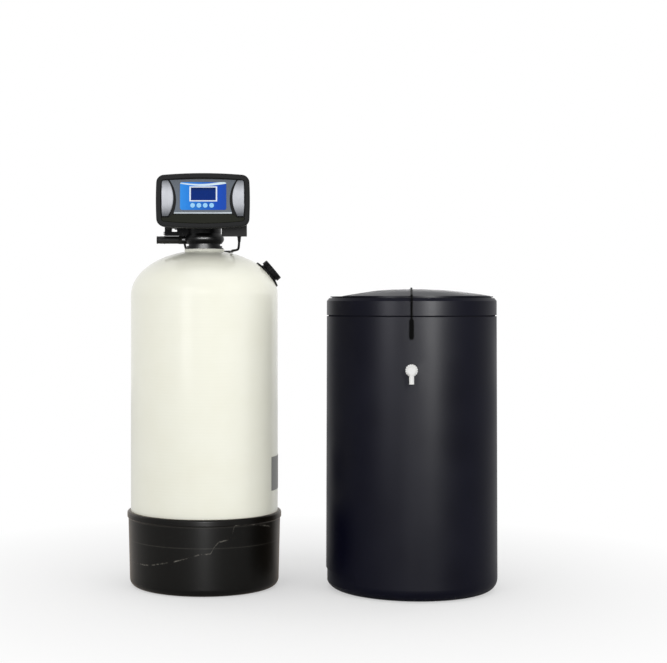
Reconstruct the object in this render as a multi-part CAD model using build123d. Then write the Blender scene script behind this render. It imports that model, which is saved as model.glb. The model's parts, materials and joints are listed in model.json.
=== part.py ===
"""Water softener: a resin tank with its control valve and display head, and a brine tank beside it.

Millimetres. +Z is up, the front faces -Y, and the origin is the middle of the boot's foot.
"""
import os
from math import acos, cos, pi, radians, sin, sqrt, tan

from build123d import *

# Clearances and shared values
overrun = 2.0
seat_gap = 0.3
bond_gap = 0.1
running_gap = 0.05
quarter_turn = 90.0

# Resin vessel: wound shell, liner and threaded insert
vessel_radius = 151.0
dome_rise = 92.7
straight_height = 495.0
shell_wall = 4.5
liner_wall = 3.0
shell_opening_radius = 41.0
insert_flange_radius = 50.0
insert_proud = 5.2
insert_flange_drop = 20.4

# Boot under the vessel
boot_floor = 6.0
boot_height = 153.0
boot_foot_proud = 1.6
boot_waist_proud = 5.0
boot_corner_radius = 15.0
boot_wall = 3.4
boot_flare_drop = 25.0
boot_ring_radius = 96.0
boot_floor_round = 6.0
boot_lip_proud = 7.2
boot_lip_height = 13.0
boot_lip_step = 1.2
boot_lip_round = 4.0

# Fill port on the shoulder
port_dome_angle = 29.0
port_tilt = 40.0
port_hole_radius = 19.0
port_sleeve_length = 13.0
saddle_radius = 32.0
saddle_thickness = 3.2
port_neck_radius = 20.5
port_neck_height = 3.4
cap_radius = 23.4
cap_height = 10.3
cap_plug_radius = 16.4
cap_plug_length = 14.0
cap_plug_wall = 2.5
cap_edge_round = 1.6
cap_grip_count = 24
cap_grip_radius = 1.4
cap_socket = 12.7
cap_socket_depth = 5.0
port_ring_section = 1.4

# Data plate on the shell
plate_height = 68.0
plate_base = 199.0
plate_thickness = 0.4
plate_glue = 0.2
plate_span = 52.0
plate_turn = 91.0

# Media, riser and strainers inside the vessel
gravel_top = 92.0
resin_top = 430.0
media_gap = 0.5
riser_radius = 13.4
riser_wall = 2.4
riser_base = 38.0
basket_radius = 26.0
basket_height = 62.0
basket_wall = 2.5
basket_slots = 18
basket_slot_width = 1.6
basket_slot_margin = 9.0
strainer_radius = 30.0
strainer_height = 42.0
strainer_collar_height = 7.0

# Valve body: neck, bowl, barrel and ports
neck_thread_radius = 35.8
neck_thread_length = 29.4
neck_bore_radius = 31.5
neck_flange_radius = 39.0
neck_flange_height = 2.3
collar_radius = 36.6
collar_height = 4.0
groove_radius = 32.5
groove_height = 4.4
bowl_foot_radius = 35.5
bowl_radius = 40.5
bowl_height = 34.0
bowl_round = 7.0
bowl_belly_height = 13.0
bowl_belly_round = 9.0
bowl_waist_radius = 34.5
bowl_waist_height = 21.0
annulus_height = 38.0
annulus_way_radius = 4.5
annulus_way_offset = 24.0
annulus_way_drop = 17.5
pilot_wall = 3.8
pilot_height = 62.0
drain_way_radius = 4.0
drain_way_offset = 22.0
passage_radius = 10.0
barrel_sink = 4.4
barrel_radius = 46.0
barrel_front = -26.0
barrel_back = 46.0
chamber_radius = 34.0
chamber_depth = 38.0
port_spread = 45.0
port_boss_radius = 20.0
port_boss_front = 8.0
port_boss_back = 60.0
port_thread_radius = 16.6
port_thread_length = 26.0
port_bore_radius = 12.0
port_bore_front = 26.0
thread_pitch = 2.31
thread_depth = 0.9
thread_groove_share = 0.7
disc_port_offset = 14.0
disc_port_radius = 7.0
neck_ring_section = 1.3
riser_ring_section = 1.5
riser_ring_drop = 12.0

# Ceramic discs, carrier and bonnet
disc_radius = 33.9
disc_thickness = 8.0
moving_disc_radius = 30.0
carrier_radius = 27.0
carrier_thickness = 8.0
carrier_key_width = 8.0
carrier_key_depth = 2.5
carrier_key_reach = 10.0
disc_window_turn = 24.0
stem_radius = 7.0
stem_flat = 5.6
stem_proud = 2.0
bonnet_thickness = 10.0
bonnet_ring_outer = 36.0
bonnet_ring_inner = 24.0
bonnet_ring_height = 4.7
bonnet_screw_count = 6
bonnet_screw_circle = 40.4
bonnet_screw_radius = 2.4
bonnet_screw_reach = 14.0
screw_head_radius = 4.2
screw_head_height = 3.6
screw_socket = 2.0
screw_socket_depth = 2.0
stem_ring_section = 1.3
stem_ring_drop = 4.0

# Drive gear, pinion, motor and their plate
gear_module = 1.5
gear_teeth = 42
pinion_teeth = 14
addendum_share = 0.85
dedendum_share = 1.15
backlash_share = 0.10
pressure_angle = 20.0
gear_width = 7.0
gear_back_gap = 4.5
gear_window_radius = 6.0
gear_window_circle = 21.0
gear_window_count = 6
motor_radius = 15.0
motor_length = 30.0
motor_boss_radius = 5.0
motor_boss_height = 2.0
motor_shaft_radius = 2.5
plate_metal = 2.5
plate_post_offset = 29.0
plate_post_radius = 4.0
plate_half_width = 60.0
plate_half_height = 36.0
plate_screw_radius = 1.8
plate_screw_head = 3.2
plate_screw_head_height = 2.4
plate_screw_margin = 0.5
wall_screw_circle = 30.0

# Control head: outline and depth
head_half_width = 93.6
head_half_height = 54.7
head_rise = 6.6
head_side_bow = 1.7
head_top_bow = 4.6
head_corner_radius = 16.0
head_front = -112.0
head_split = -92.0
head_back = -41.0
frame_rim = 9.0
frame_wall = 3.0
frame_edge_round = 3.0
frame_recess = 7.0
frame_floor = 2.5
cover_inset = 1.2
cover_wall = 2.5
cover_edge_round = 6.0
head_post_side_inset = 14.6
head_post_end_inset = 16.7
head_post_radius = 4.5
head_screw_radius = 1.9
head_screw_head_radius = 3.4
head_screw_head_height = 2.6
head_screw_bite = 9.0

# Fascia, wings, strip and lower trim, placed from the head's centre
fascia_thickness = 3.0
fascia_top_inset = 27.6
fascia_waist_inset = 40.4
fascia_foot_inset = 36.0
fascia_top_drop = 12.1
fascia_top_bow = 2.0
fascia_waist_rise = 0.9
fascia_foot_lift = 31.9
wing_thickness = 5.4
wing_outer_inset = 10.6
wing_outer_bow = 1.2
wing_tip_inset = 24.6
wing_belly_inset = 35.0
wing_top_drop = 13.5
wing_foot_lift = 23.3
wing_round = 1.6
strip_height = 3.0
strip_thickness = 3.8
trim_thickness = 6.4
trim_shoulder_inset = 33.6
trim_slope_inset = 24.6
trim_shoulder_lift = 27.5
trim_side_lift = 21.1
trim_round = 1.2

# Label, display and buttons
label_side_inset = 7.2
label_height = 55.2
label_corner = 4.0
label_thickness = 0.6
label_offset = 0.65
label_rise = 9.1
bezel_width = 55.2
bezel_height = 29.8
bezel_corner = 1.2
bezel_thickness = 0.6
display_ledge = 1.0
window_width = 49.6
window_height = 25.4
display_offset = 0.9
display_rise = 13.3
module_width = 60.0
module_height = 34.0
button_radius = 4.7
button_gap = 0.3
button_proud = 0.8
button_cap_depth = 2.6
button_stem_radius = 2.6
button_collar_radius = 4.2
button_collar_thickness = 1.0
button_travel = 0.6
button_spacing = 12.6
button_count = 4
button_offset = -1.5
button_rise = -9.4
board_thickness = 1.6
board_gap = 5.5
board_side_inset = 43.6
board_top_drop = 12.7
board_foot_lift = 39.7
board_post_radius = 2.6
board_post_inset = 4.0
switch_side = 6.0
switch_height = 1.8
chip_side = 12.0
chip_height = 2.0

# Drain stub, injector block and brine connector at the valve's left
drain_rise = 8.2
drain_boss_radius = 8.4
drain_boss_reach = 46.0
drain_radius = 7.8
drain_reach = 98.2
drain_bore_radius = 4.6
drain_thread_radius = 6.4
drain_thread_length = 9.0
drain_nut_radius = 9.5
drain_nut_thickness = 7.0
drain_barb_depth = 0.6
drain_barb_pitch = 7.0
drain_barb_count = 1
drain_stop_radius = 8.5
drain_stop_width = 1.6
injector_left = 81.2
injector_pad_reach = 44.0
injector_gap = 0.2
injector_height = 32.0
injector_depth = 24.0
injector_window_width = 11.0
injector_window_height = 7.0
injector_window_offset = 61.5
injector_window_rise = 8.0
injector_rib_count = 4
injector_rib_width = 1.6
injector_rib_depth = 1.4
nozzle_radius = 4.0
nozzle_length = 16.0
nozzle_bore_radius = 1.2
injector_cap_radius = 6.2
injector_cap_height = 5.0
injector_bore_offset = 74.0
injector_bore_rise = 18.0
connector_offset = 57.0
connector_rise = 22.0
connector_radius = 7.0
connector_length = 14.0
connector_bore_radius = 4.85
connector_stop = 5.0
connector_nut_radius = 9.6
connector_nut_length = 11.0
connector_thread_length = 6.0
injector_screw_radius = 1.9
injector_screw_head_radius = 3.4
injector_screw_head_height = 2.4
injector_screw_rise = 5.0
injector_screw_bite = 12.0

# Flow turbine in the left rear port, its cage and its sensor plug
cage_length = 18.0
cage_wall = 1.2
cage_start = 34.0
cage_spoke = 1.6
cage_hub_radius = 2.6
spindle_radius = 0.8
turbine_radius = 9.6
turbine_length = 10.0
turbine_hub_radius = 3.0
turbine_blades = 5
turbine_blade = 1.2
turbine_twist = 25.0
sensor_radius = 5.0
sensor_length = 15.0
sensor_flange_radius = 7.0
sensor_flange_height = 2.0

# Gland block under the head and the sensor lead round the neck
gland_side_inset = 57.0
gland_width = 51.0
gland_back = -44.0
gland_depth = 22.0
gland_drop = 14.3
gland_round = 1.5
gland_stem_radius = 4.0
gland_stem_inset = 9.6
gland_stem_proud = 4.0
jack_radius = 2.8
jack_depth = 9.0
jack_rise = 5.0
jack_side_wall = 2.6
lead_radius = 2.4
lead_gland_offset = 35.4
lead_corner_rise = 4.0
lead_bend_share = 0.3
lead_socket_depth = 5.0
lead_clearance = 2.2
lead_fall = 1.4
lead_rise = 10.0
lead_loop_radius = 60.0
lead_loop_turns = (-22.0, 8.0, 38.0, 68.0, 98.0, 122.0)
lead_run_share = 0.45

# Brine tank
brine_x = 422.4
brine_y = -34.0
fitting_turn = 6.0
brine_top_radius = 171.8
brine_foot_flare = 1.6
brine_corner_radius = 24.0
brine_wall = 4.0
brine_shoulder_height = 551.2
brine_shoulder = 4.2
rim_inset = 3.3
rim_height = 26.5
recess_depth = 2.4
recess_top = 41.0
recess_start_turn = 45.0
recess_end_turn = 140.0

# Lid and strap
lid_fit = 0.4
seam_gap = 2.4
skirt_rise = 4.3
bevel_inset = 4.8
bevel_rise = 6.0
lip_inset = 7.3
lip_groove_inset = 10.3
lip_groove_height = 1.2
lip_thickness = 2.2
lid_ledge_inset = 12.8
lid_roof_drop = 2.2
crown_inset = 12.8
crown_rise = 15.0
crown_step = 0.8
crown_wall = 3.0
crown_cut_inset = 21.8
crown_cut_reach = 56.0
crown_cut_slope = 44.0
ridge_width = 2.4
ridge_depth = 1.6
ridge_arc_radius = 62.0
strap_pad_width = 8.6
strap_width = 4.0
strap_thickness = 2.4
strap_gap = 0.5
strap_start = 12.0
strap_drop = 43.7
strap_pad_height = 40.0
strap_stud_radius = 1.9
strap_stud_length = 6.0
strap_stud_margin = 5.0

# Overflow elbow on the brine tank's wall
overflow_height = 448.6
overflow_flange_radius = 12.0
overflow_flange_thickness = 4.0
overflow_body_radius = 7.6
overflow_body_reach = 20.0
overflow_collar_radius = 6.0
overflow_collar_proud = 1.0
overflow_shank_radius = 7.8
overflow_shank_length = 18.0
overflow_bore_radius = 3.6
overflow_spigot_radius = 4.75
overflow_spigot_drop = 26.0
overflow_spigot_wall = 1.5
overflow_nut_radius = 13.0
overflow_nut_thickness = 6.0
overflow_grip_count = 16
overflow_grip_radius = 1.1
gasket_thickness = 1.5
gasket_radius = 11.4
nut_wall_gap = 0.9

# Brine well and what it holds
well_offset_x = 64.0
well_offset_y = 64.0
well_radius = 55.0
well_wall = 2.5
well_top = 545.0
well_slots = 8
well_slot_width = 5.0
well_slot_height = 60.0
well_slot_base = 26.0
well_cap_radius = 58.0
well_cap_thickness = 2.5
well_cap_skirt = 12.0
well_grip_length = 40.0
well_grip_width = 6.0
well_grip_height = 8.0
bar_width = 12.0
bar_height = 6.0
bar_fit = 0.3
valve_block_height = 30.0
valve_block_base = 440.0
valve_block_depth = 26.0
valve_block_left = -42.0
valve_block_right = 20.0
pickup_offset = -30.0
pickup_radius = 4.75
pickup_bore_radius = 3.2
pickup_base = 44.0
pickup_socket = 10.0
pickup_fit = 0.1
outlet_nut_radius = 9.5
outlet_nut_height = 12.0
cage_radius = 14.0
check_wall = 2.5
check_height = 44.0
check_seat_radius = 4.0
check_window_count = 4
check_window_width = 6.0
check_window_height = 12.0
ball_radius = 8.0
float_offset = 8.0
float_radius = 22.0
float_height = 60.0
float_base = 300.0
float_round = 5.0
rod_radius = 2.0
rod_bore_gap = 0.3
rod_stop_radius = 4.5
rod_stop_height = 5.0
float_travel = 24.0
grid_height = 58.0
grid_thickness = 5.0
grid_fit = 2.0
grid_leg_radius = 8.0
grid_leg_wall = 2.0
grid_leg_circle = 120.0
grid_leg_count = 4
grid_leg_turn = 95.0
grid_hole_margin = 3.0
grid_hole_radius = 5.0
grid_ring_radii_shares = (0.28, 0.44, 0.60, 0.90)
grid_ring_counts = (8, 14, 20, 32)

# Places worked out from the sizes above
vessel_base = boot_floor + seat_gap
lower_tangent = vessel_base + dome_rise
upper_tangent = lower_tangent + straight_height
inner_inset = shell_wall + bond_gap + liner_wall
boot_foot_radius = vessel_radius + boot_foot_proud
boot_waist_radius = vessel_radius + boot_waist_proud
boot_lip_radius = vessel_radius + boot_lip_proud
upright = (Align.CENTER, Align.CENTER, Align.MIN)


def dome_height(radius, inset=0.0):
    """Height of the upper dome, drawn in by an inset, at a distance from the vessel's axis."""
    share = radius / (vessel_radius - inset)
    return upper_tangent + (dome_rise - inset) * sqrt(1 - share * share)


neck_ring_radius = neck_thread_radius + bond_gap + neck_ring_section
insert_top = dome_height(shell_opening_radius) + insert_proud
flange_base = insert_top + seat_gap
collar_base = flange_base + neck_flange_height
groove_base = collar_base + collar_height
bowl_base = groove_base + groove_height
bowl_top = bowl_base + bowl_height
valve_axis_height = bowl_top + barrel_radius - barrel_sink
drain_height = bowl_base + drain_rise
injector_base = drain_height + drain_boss_radius + injector_gap
head_centre_height = valve_axis_height + head_rise
gland_base = head_centre_height - head_half_height - gland_drop
head_post_x = head_half_width - head_post_side_inset
head_post_z = head_half_height - head_post_end_inset
fascia_top_half = head_half_width - fascia_top_inset
fascia_waist_half = head_half_width - fascia_waist_inset
fascia_foot_half = head_half_width - fascia_foot_inset
fascia_top_rise = head_half_height - fascia_top_drop
fascia_foot_rise = fascia_foot_lift - head_half_height
wing_outer_half = head_half_width - wing_outer_inset
wing_tip_half = head_half_width - wing_tip_inset
wing_belly_half = head_half_width - wing_belly_inset
wing_top_rise = head_half_height - wing_top_drop
wing_foot_rise = wing_foot_lift - head_half_height
trim_shoulder_half = head_half_width - trim_shoulder_inset
trim_slope_half = head_half_width - trim_slope_inset
trim_shoulder_rise = trim_shoulder_lift - head_half_height
trim_side_rise = trim_side_lift - head_half_height
board_top_rise = head_half_height - board_top_drop
board_foot_rise = board_foot_lift - head_half_height
label_width = 2 * (fascia_waist_half - label_side_inset)
gland_left = head_half_width - gland_side_inset
gland_stem_x = gland_left + gland_width - gland_stem_inset
board_half_width = head_half_width - board_side_inset
lead_level = dome_height(lead_loop_radius) + lead_radius + lead_fall + lead_clearance
neck_bottom = flange_base - neck_thread_length
bonnet_front = barrel_front - bonnet_thickness
ring_front = bonnet_front - bonnet_ring_height
wall_back = head_back
wall_front = head_back - cover_wall
gear_back = wall_front - gear_back_gap
gear_front = gear_back - gear_width
motor_plate_back = gear_front - gear_back_gap
motor_plate_front = motor_plate_back - plate_metal
floor_front = head_front + frame_recess
floor_back = floor_front + frame_floor
fascia_front = floor_front - fascia_thickness
label_front = fascia_front - label_thickness
bezel_front = label_front - bezel_thickness
board_front = floor_back + board_gap
board_back = board_front + board_thickness
centre_distance = gear_module * (gear_teeth + pinion_teeth) / 2
shell_outside = vessel_radius + plate_glue
brine_foot_radius = brine_top_radius + brine_foot_flare
rim_radius = brine_top_radius - rim_inset
rim_top = brine_shoulder_height + rim_height
skirt_top = rim_top + skirt_rise
bevel_radius = brine_top_radius - bevel_inset
bevel_top = skirt_top + bevel_rise
lip_radius = brine_top_radius - lip_inset
lip_groove_radius = brine_top_radius - lip_groove_inset
lip_under = bevel_top + lip_groove_height
lip_top = lip_under + lip_thickness
lid_ledge_radius = brine_top_radius - lid_ledge_inset
lid_roof = bevel_top - lid_roof_drop
crown_radius = brine_top_radius - crown_inset
crown_cut_radius = brine_top_radius - crown_cut_inset
strap_foot = brine_shoulder_height - strap_drop
brine_place = Pos(brine_x, brine_y, 0)
fitting_place = brine_place * Rot(0, 0, -fitting_turn)
well_place = brine_place * Pos(well_offset_x, well_offset_y, 0)


# General helpers
def turned(outline):
    """Solid turned about Z from (radius, height) or (radius, height, rounding) points."""
    points = [(point[0], point[1]) for point in outline]
    rounding = [point[2] if len(point) > 2 else 0 for point in outline]
    if any(rounding):
        wire = FilletPolyline(*points, radius=rounding, close=True)
    else:
        wire = Polyline(*points, close=True)
    return revolve(Plane.XZ * make_face(wire), Axis.Z)


def rod(radius, bottom, top):
    """Upright round bar between two heights."""
    return Pos(0, 0, bottom) * Cylinder(radius, top - bottom, align=upright)


def tube(outer, inner, bottom, top):
    """Upright round tube between two heights."""
    return rod(outer, bottom, top) - rod(inner, bottom - overrun, top + overrun)


def along_y(x, z):
    """Place whose local Z runs to the back (+Y) at a given x and height, with local X kept."""
    return Plane(origin=(x, 0, z), x_dir=(1, 0, 0), z_dir=(0, 1, 0)).location


def along_x(y, z):
    """Place whose local Z runs to the left (-X) at a given depth and height."""
    return Plane(origin=(0, y, z), x_dir=(0, 1, 0), z_dir=(-1, 0, 0)).location


def slab(sketch, back, front):
    """Extrude a front-view sketch (x, height) from one depth forward to another."""
    return extrude(Plane.XZ.offset(-back) * sketch, back - front)


def block(left, right, back, front, bottom, top):
    """Box between six faces."""
    size = Box(right - left, back - front, top - bottom)
    return Pos((left + right) / 2, (back + front) / 2, (bottom + top) / 2) * size


def ring_of(shape, count, start=0.0):
    """Copies of a shape spread evenly about Z."""
    return [Rot(0, 0, start + 360 * step / count) * shape for step in range(count)]


def o_ring(radius, section, height):
    """Seal ring of round section."""
    return Pos(0, 0, height) * Torus(radius, section)


def thread_rings(radius, bottom, top):
    """Shallow V grooves at the thread's pitch, to cut from a pin."""
    count = int((top - bottom) / thread_pitch)
    reach = thread_groove_share * thread_pitch
    groove = turned([
        (radius - thread_depth, 0),
        (radius + thread_depth, -reach),
        (radius + thread_depth, reach),
    ])
    return [Pos(0, 0, bottom + step * thread_pitch) * groove for step in range(count)]


# Resin vessel
def vessel_form(inset):
    """The vessel's closed form drawn in by a distance: a cylinder between two elliptical domes."""
    radius = vessel_radius - inset
    rise = dome_rise - inset
    outline = (
        EllipticalCenterArc((0, lower_tangent), radius, rise, -quarter_turn, arc_size=quarter_turn)
        + Line((radius, lower_tangent), (radius, upper_tangent))
        + EllipticalCenterArc((0, upper_tangent), radius, rise, 0, arc_size=quarter_turn)
        + Line((0, upper_tangent + rise), (0, lower_tangent - rise))
    )
    return revolve(Plane.XZ * make_face(outline), Axis.Z)


port_radius_out = vessel_radius * cos(radians(port_dome_angle))
port_height = upper_tangent + dome_rise * sin(radians(port_dome_angle))
port_axis = (cos(radians(port_tilt)), 0, sin(radians(port_tilt)))
port_place = Plane(origin=(port_radius_out, 0, port_height), x_dir=(0, 1, 0), z_dir=port_axis).location
port_ring_radius = (port_neck_radius + cap_plug_radius + seat_gap) / 2
port_ring_height = port_neck_height - port_ring_section


def port_drill(radius):
    """Drill along the fill port's axis, through both walls."""
    depth = 3 * inner_inset
    return port_place * rod(radius, -depth, depth)


def tank_shell():
    walls = vessel_form(0) - vessel_form(shell_wall)
    walls -= rod(shell_opening_radius, upper_tangent, upper_tangent + 2 * dome_rise)
    return walls - port_drill(port_hole_radius)


def tank_liner():
    outer = shell_wall + bond_gap
    walls = vessel_form(outer) - vessel_form(outer + liner_wall)
    walls -= rod(insert_flange_radius + bond_gap, upper_tangent, upper_tangent + 2 * dome_rise)
    return walls - port_drill(port_hole_radius)


def neck_insert():
    """Threaded ring in the polar opening, with a flange caught under the shell."""
    ring_outer = shell_opening_radius - bond_gap
    foot = insert_top - insert_flange_drop
    body = rod(insert_flange_radius, foot, insert_top)
    body = body & (vessel_form(shell_wall + bond_gap) + rod(ring_outer, foot, insert_top + overrun))
    body -= rod(neck_thread_radius + seat_gap, foot - overrun, insert_top + overrun)
    seal_depth = 2 * neck_ring_section + bond_gap
    seal_outer = neck_ring_radius + neck_ring_section + bond_gap
    return body - rod(seal_outer, insert_top - seal_depth, insert_top + overrun)


def tank_boot():
    """Moulded cup with a rounded foot, a slight flare, a rolled lip and an inner seat for the dome."""
    lip_base = boot_height - boot_lip_height
    pocket = vessel_radius + seat_gap
    inside = boot_foot_radius - boot_wall
    cup = turned([
        (0, 0),
        (boot_foot_radius, 0, boot_corner_radius),
        (boot_waist_radius, lip_base - boot_lip_step),
        (boot_lip_radius - boot_lip_step, lip_base),
        (boot_lip_radius, lip_base + boot_lip_step),
        (boot_lip_radius, boot_height, boot_lip_round),
        (pocket, boot_height),
        (pocket, lower_tangent),
        (inside, lower_tangent - boot_flare_drop),
        (inside, boot_floor, boot_floor_round),
        (0, boot_floor),
    ])
    cup += tube(boot_ring_radius, boot_ring_radius - boot_wall, boot_floor, lower_tangent)
    return cup - vessel_form(-seat_gap)


def data_plate():
    """Thin plate bent round the shell, at its right side."""
    inner = shell_outside
    wedge_reach = 2 * vessel_radius
    half = radians(plate_span / 2)
    fan = Polyline(
        (0, 0),
        (wedge_reach * cos(half), -wedge_reach * sin(half)),
        (wedge_reach * cos(half), wedge_reach * sin(half)),
        close=True,
    )
    wedge = Pos(0, 0, plate_base) * extrude(make_face(fan), plate_height)
    ring = tube(inner + plate_thickness, inner, plate_base, plate_base + plate_height)
    return Rot(0, 0, plate_turn - quarter_turn) * (ring & wedge)


def fill_port_saddle():
    """Flange that hugs the dome, with a short neck, a sleeve through the walls and a ring groove."""
    plug = port_place * rod(saddle_radius, -saddle_radius, saddle_radius)
    hug = vessel_form(-bond_gap - saddle_thickness) & plug
    neck = port_place * rod(port_neck_radius, -port_neck_radius, port_neck_height)
    body = (hug + neck) - vessel_form(-bond_gap)
    body += port_place * rod(port_hole_radius - bond_gap, -port_sleeve_length, port_neck_height)
    body -= port_place * rod(cap_plug_radius + seat_gap, -port_sleeve_length - overrun, saddle_radius)
    groove_width = port_ring_section + bond_gap
    groove = tube(
        port_ring_radius + groove_width, port_ring_radius - groove_width,
        port_ring_height - groove_width, port_neck_height + overrun,
    )
    return body - port_place * groove


def fill_port_cap():
    """Screwed cap: gripped rim, square drive socket and a hollow plug."""
    under = port_neck_height + seat_gap
    top = under + cap_height
    body = turned([
        (0, under),
        (cap_radius, under),
        (cap_radius, top, cap_edge_round),
        (0, top),
    ])
    grip = Pos(cap_radius, 0, 0) * rod(cap_grip_radius, under - overrun, top + overrun)
    body -= ring_of(grip, cap_grip_count)
    body += rod(cap_plug_radius, under - cap_plug_length, under)
    body -= rod(cap_plug_radius - cap_plug_wall, under - cap_plug_length - overrun, under)
    body -= Pos(0, 0, top) * Box(cap_socket, cap_socket, 2 * cap_socket_depth)
    return port_place * body


def media_form(bottom, top):
    """What the vessel's inside holds between two heights."""
    room = vessel_form(inner_inset + media_gap)
    return room & rod(vessel_radius, bottom, top)


basket_base = vessel_base + inner_inset + seat_gap
basket_top = basket_base + basket_height


def gravel_bed():
    bed = media_form(0, gravel_top)
    bed -= rod(basket_radius + media_gap, 0, basket_top + media_gap)
    return bed - rod(riser_radius + media_gap, 0, gravel_top + overrun)


def resin_bed():
    bed = media_form(gravel_top + media_gap, resin_top)
    return bed - rod(riser_radius + media_gap, 0, resin_top + overrun)


def lower_distributor():
    """Slotted basket round the riser's foot."""
    socket = riser_radius + bond_gap
    basket = turned([
        (0, basket_base),
        (basket_radius / 3, basket_base),
        (basket_radius, basket_base + basket_wall),
        (basket_radius, basket_top - basket_wall),
        (riser_radius + bond_gap + basket_wall, basket_top),
        (0, basket_top),
    ])
    room = rod(basket_radius - basket_wall, basket_base + basket_wall, basket_top - 2 * basket_wall)
    basket -= room - rod(socket + basket_wall, riser_base - basket_wall, basket_top)
    basket -= rod(socket, riser_base, basket_top + overrun)
    basket -= rod(socket - riser_wall, basket_base + basket_wall, riser_base + overrun)
    slot_height = basket_height - 2 * basket_slot_margin
    slot = Pos(basket_radius, 0, basket_base + basket_slot_margin) * Box(
        2 * basket_wall + overrun, basket_slot_width, slot_height, align=upright
    )
    return basket - ring_of(slot, basket_slots)


pilot_bottom = neck_bottom - strainer_collar_height / 2
riser_top = pilot_bottom + pilot_height / 2


def riser_tube():
    return tube(riser_radius, riser_radius - riser_wall, riser_base, riser_top)


def upper_strainer():
    """Cone basket that clips to the valve's pilot below the neck."""
    top = pilot_bottom - seat_gap
    bottom = top - strainer_height
    core = riser_radius + bond_gap
    cone = turned([
        (core, bottom),
        (core + basket_wall, bottom),
        (strainer_radius, top - strainer_collar_height, basket_wall),
        (strainer_radius, top),
        (core, top),
    ])
    slot_height = strainer_height - strainer_collar_height - basket_slot_margin
    slot = Pos(strainer_radius, 0, bottom + basket_slot_margin) * Box(
        strainer_radius, basket_slot_width, slot_height, align=upright
    )
    return cone - ring_of(slot, basket_slots)


# Control valve
def valve_neck():
    """Threaded neck, flange, collar, groove and bowl, turned about the tank's axis."""
    return turned([
        (0, neck_bottom),
        (neck_thread_radius, neck_bottom),
        (neck_thread_radius, flange_base),
        (neck_flange_radius, flange_base),
        (neck_flange_radius, collar_base),
        (collar_radius, collar_base),
        (collar_radius, groove_base),
        (groove_radius, groove_base),
        (groove_radius, bowl_base),
        (bowl_foot_radius, bowl_base),
        (bowl_radius, bowl_base + bowl_round, bowl_round),
        (bowl_radius, bowl_base + bowl_belly_height, bowl_belly_round),
        (bowl_waist_radius, bowl_base + bowl_waist_height),
        (bowl_waist_radius, bowl_top),
        (0, bowl_top),
    ])


def rear_port(x):
    """Boss and threaded pin of a rear port, its local Z to the back."""
    thread_end = port_boss_back + port_thread_length
    port = rod(port_boss_radius, port_boss_front, port_boss_back)
    port += rod(port_thread_radius, port_boss_back, thread_end)
    port -= thread_rings(port_thread_radius, port_boss_back + thread_pitch, thread_end - thread_pitch)
    return along_y(x, valve_axis_height) * port


def valve_passages():
    """Ways for the water inside the body, to cut."""
    pilot_bore = riser_radius + bond_gap
    annulus_top = neck_bottom + annulus_height
    chamber_side = valve_axis_height - chamber_radius + overrun
    way_height = valve_axis_height - annulus_way_drop
    ways = [
        tube(neck_bore_radius, pilot_bore + pilot_wall, neck_bottom - overrun, annulus_top),
        rod(pilot_bore, pilot_bottom - overrun, riser_top + overrun),
        rod(passage_radius, riser_top, chamber_side),
        along_y(0, valve_axis_height) * rod(chamber_radius, barrel_front - overrun, chamber_floor),
        Pos(0, annulus_way_offset, 0) * rod(annulus_way_radius, annulus_top - overrun, way_height),
        along_y(0, way_height) * rod(annulus_way_radius, chamber_floor - overrun, annulus_way_offset),
        Pos(-drain_way_offset, 0, 0) * rod(drain_way_radius, drain_height, valve_axis_height),
    ]
    for side in (-1, 1):
        port = along_y(side * port_spread, valve_axis_height)
        port_end = port_boss_back + port_thread_length + overrun
        ways.append(port * rod(port_bore_radius, port_bore_front, port_end))
        disc = along_y(side * disc_port_offset, valve_axis_height)
        ways.append(disc * rod(disc_port_radius, chamber_floor - overrun, port_bore_front + disc_port_radius))
        middle = side * (disc_port_offset + port_spread) / 2
        reach = port_spread - disc_port_offset
        cross = Box(reach, disc_port_radius, 2 * disc_port_radius)
        ways.append(Pos(middle, port_bore_front + disc_port_radius / 2, valve_axis_height) * cross)
    return ways


def valve_body():
    pilot_bore = riser_radius + bond_gap
    body = valve_neck()
    body += along_y(0, valve_axis_height) * rod(barrel_radius, barrel_front, barrel_back)
    body += [rear_port(-port_spread), rear_port(port_spread)]
    body += along_x(0, drain_height) * rod(drain_boss_radius, 0, drain_boss_reach)
    body += block(
        -injector_pad_reach, 0, injector_depth / 2, -injector_depth / 2,
        injector_base, injector_base + injector_height,
    )
    body -= valve_passages()
    relief = rod(barrel_radius + seat_gap, -bowl_radius - overrun, barrel_front)
    body -= along_y(0, valve_axis_height) * relief
    body += tube(pilot_bore + pilot_wall, pilot_bore, pilot_bottom, neck_bottom + overrun)
    drain = along_x(0, drain_height)
    thread_inner_end = drain_thread_start - bond_gap
    body -= drain * rod(drain_thread_radius + bond_gap, thread_inner_end, drain_boss_reach + overrun)
    body -= drain * rod(drain_bore_radius, drain_way_offset, drain_boss_reach)
    body -= o_ring(riser_ring_radius, riser_ring_section + bond_gap, riser_ring_height)
    body -= injector_screws(running_gap)
    body -= bonnet_screws(running_gap)
    body -= sensor_form(running_gap)
    return body


# Places in the valve's left side and its chamber
riser_ring_radius = riser_radius + bond_gap + riser_ring_section
riser_ring_height = riser_top - riser_ring_drop
drain_thread_start = drain_boss_reach - drain_thread_length
chamber_floor = barrel_front + chamber_depth
fixed_disc_front = chamber_floor - disc_thickness
moving_disc_front = fixed_disc_front - running_gap - disc_thickness
carrier_front = moving_disc_front - carrier_thickness
plug_end = carrier_front - seat_gap
stem_end = gear_front - stem_proud
stem_ring_outer = stem_radius + running_gap + 2 * stem_ring_section + bond_gap
stem_ring_back = plug_end - stem_ring_drop
stem_ring_front = stem_ring_back - 2 * stem_ring_section


def valve_axis(offset=0.0):
    """Place on the valve's axis, local Z to the back, shifted to the right by an offset."""
    return along_y(offset, valve_axis_height)


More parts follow.
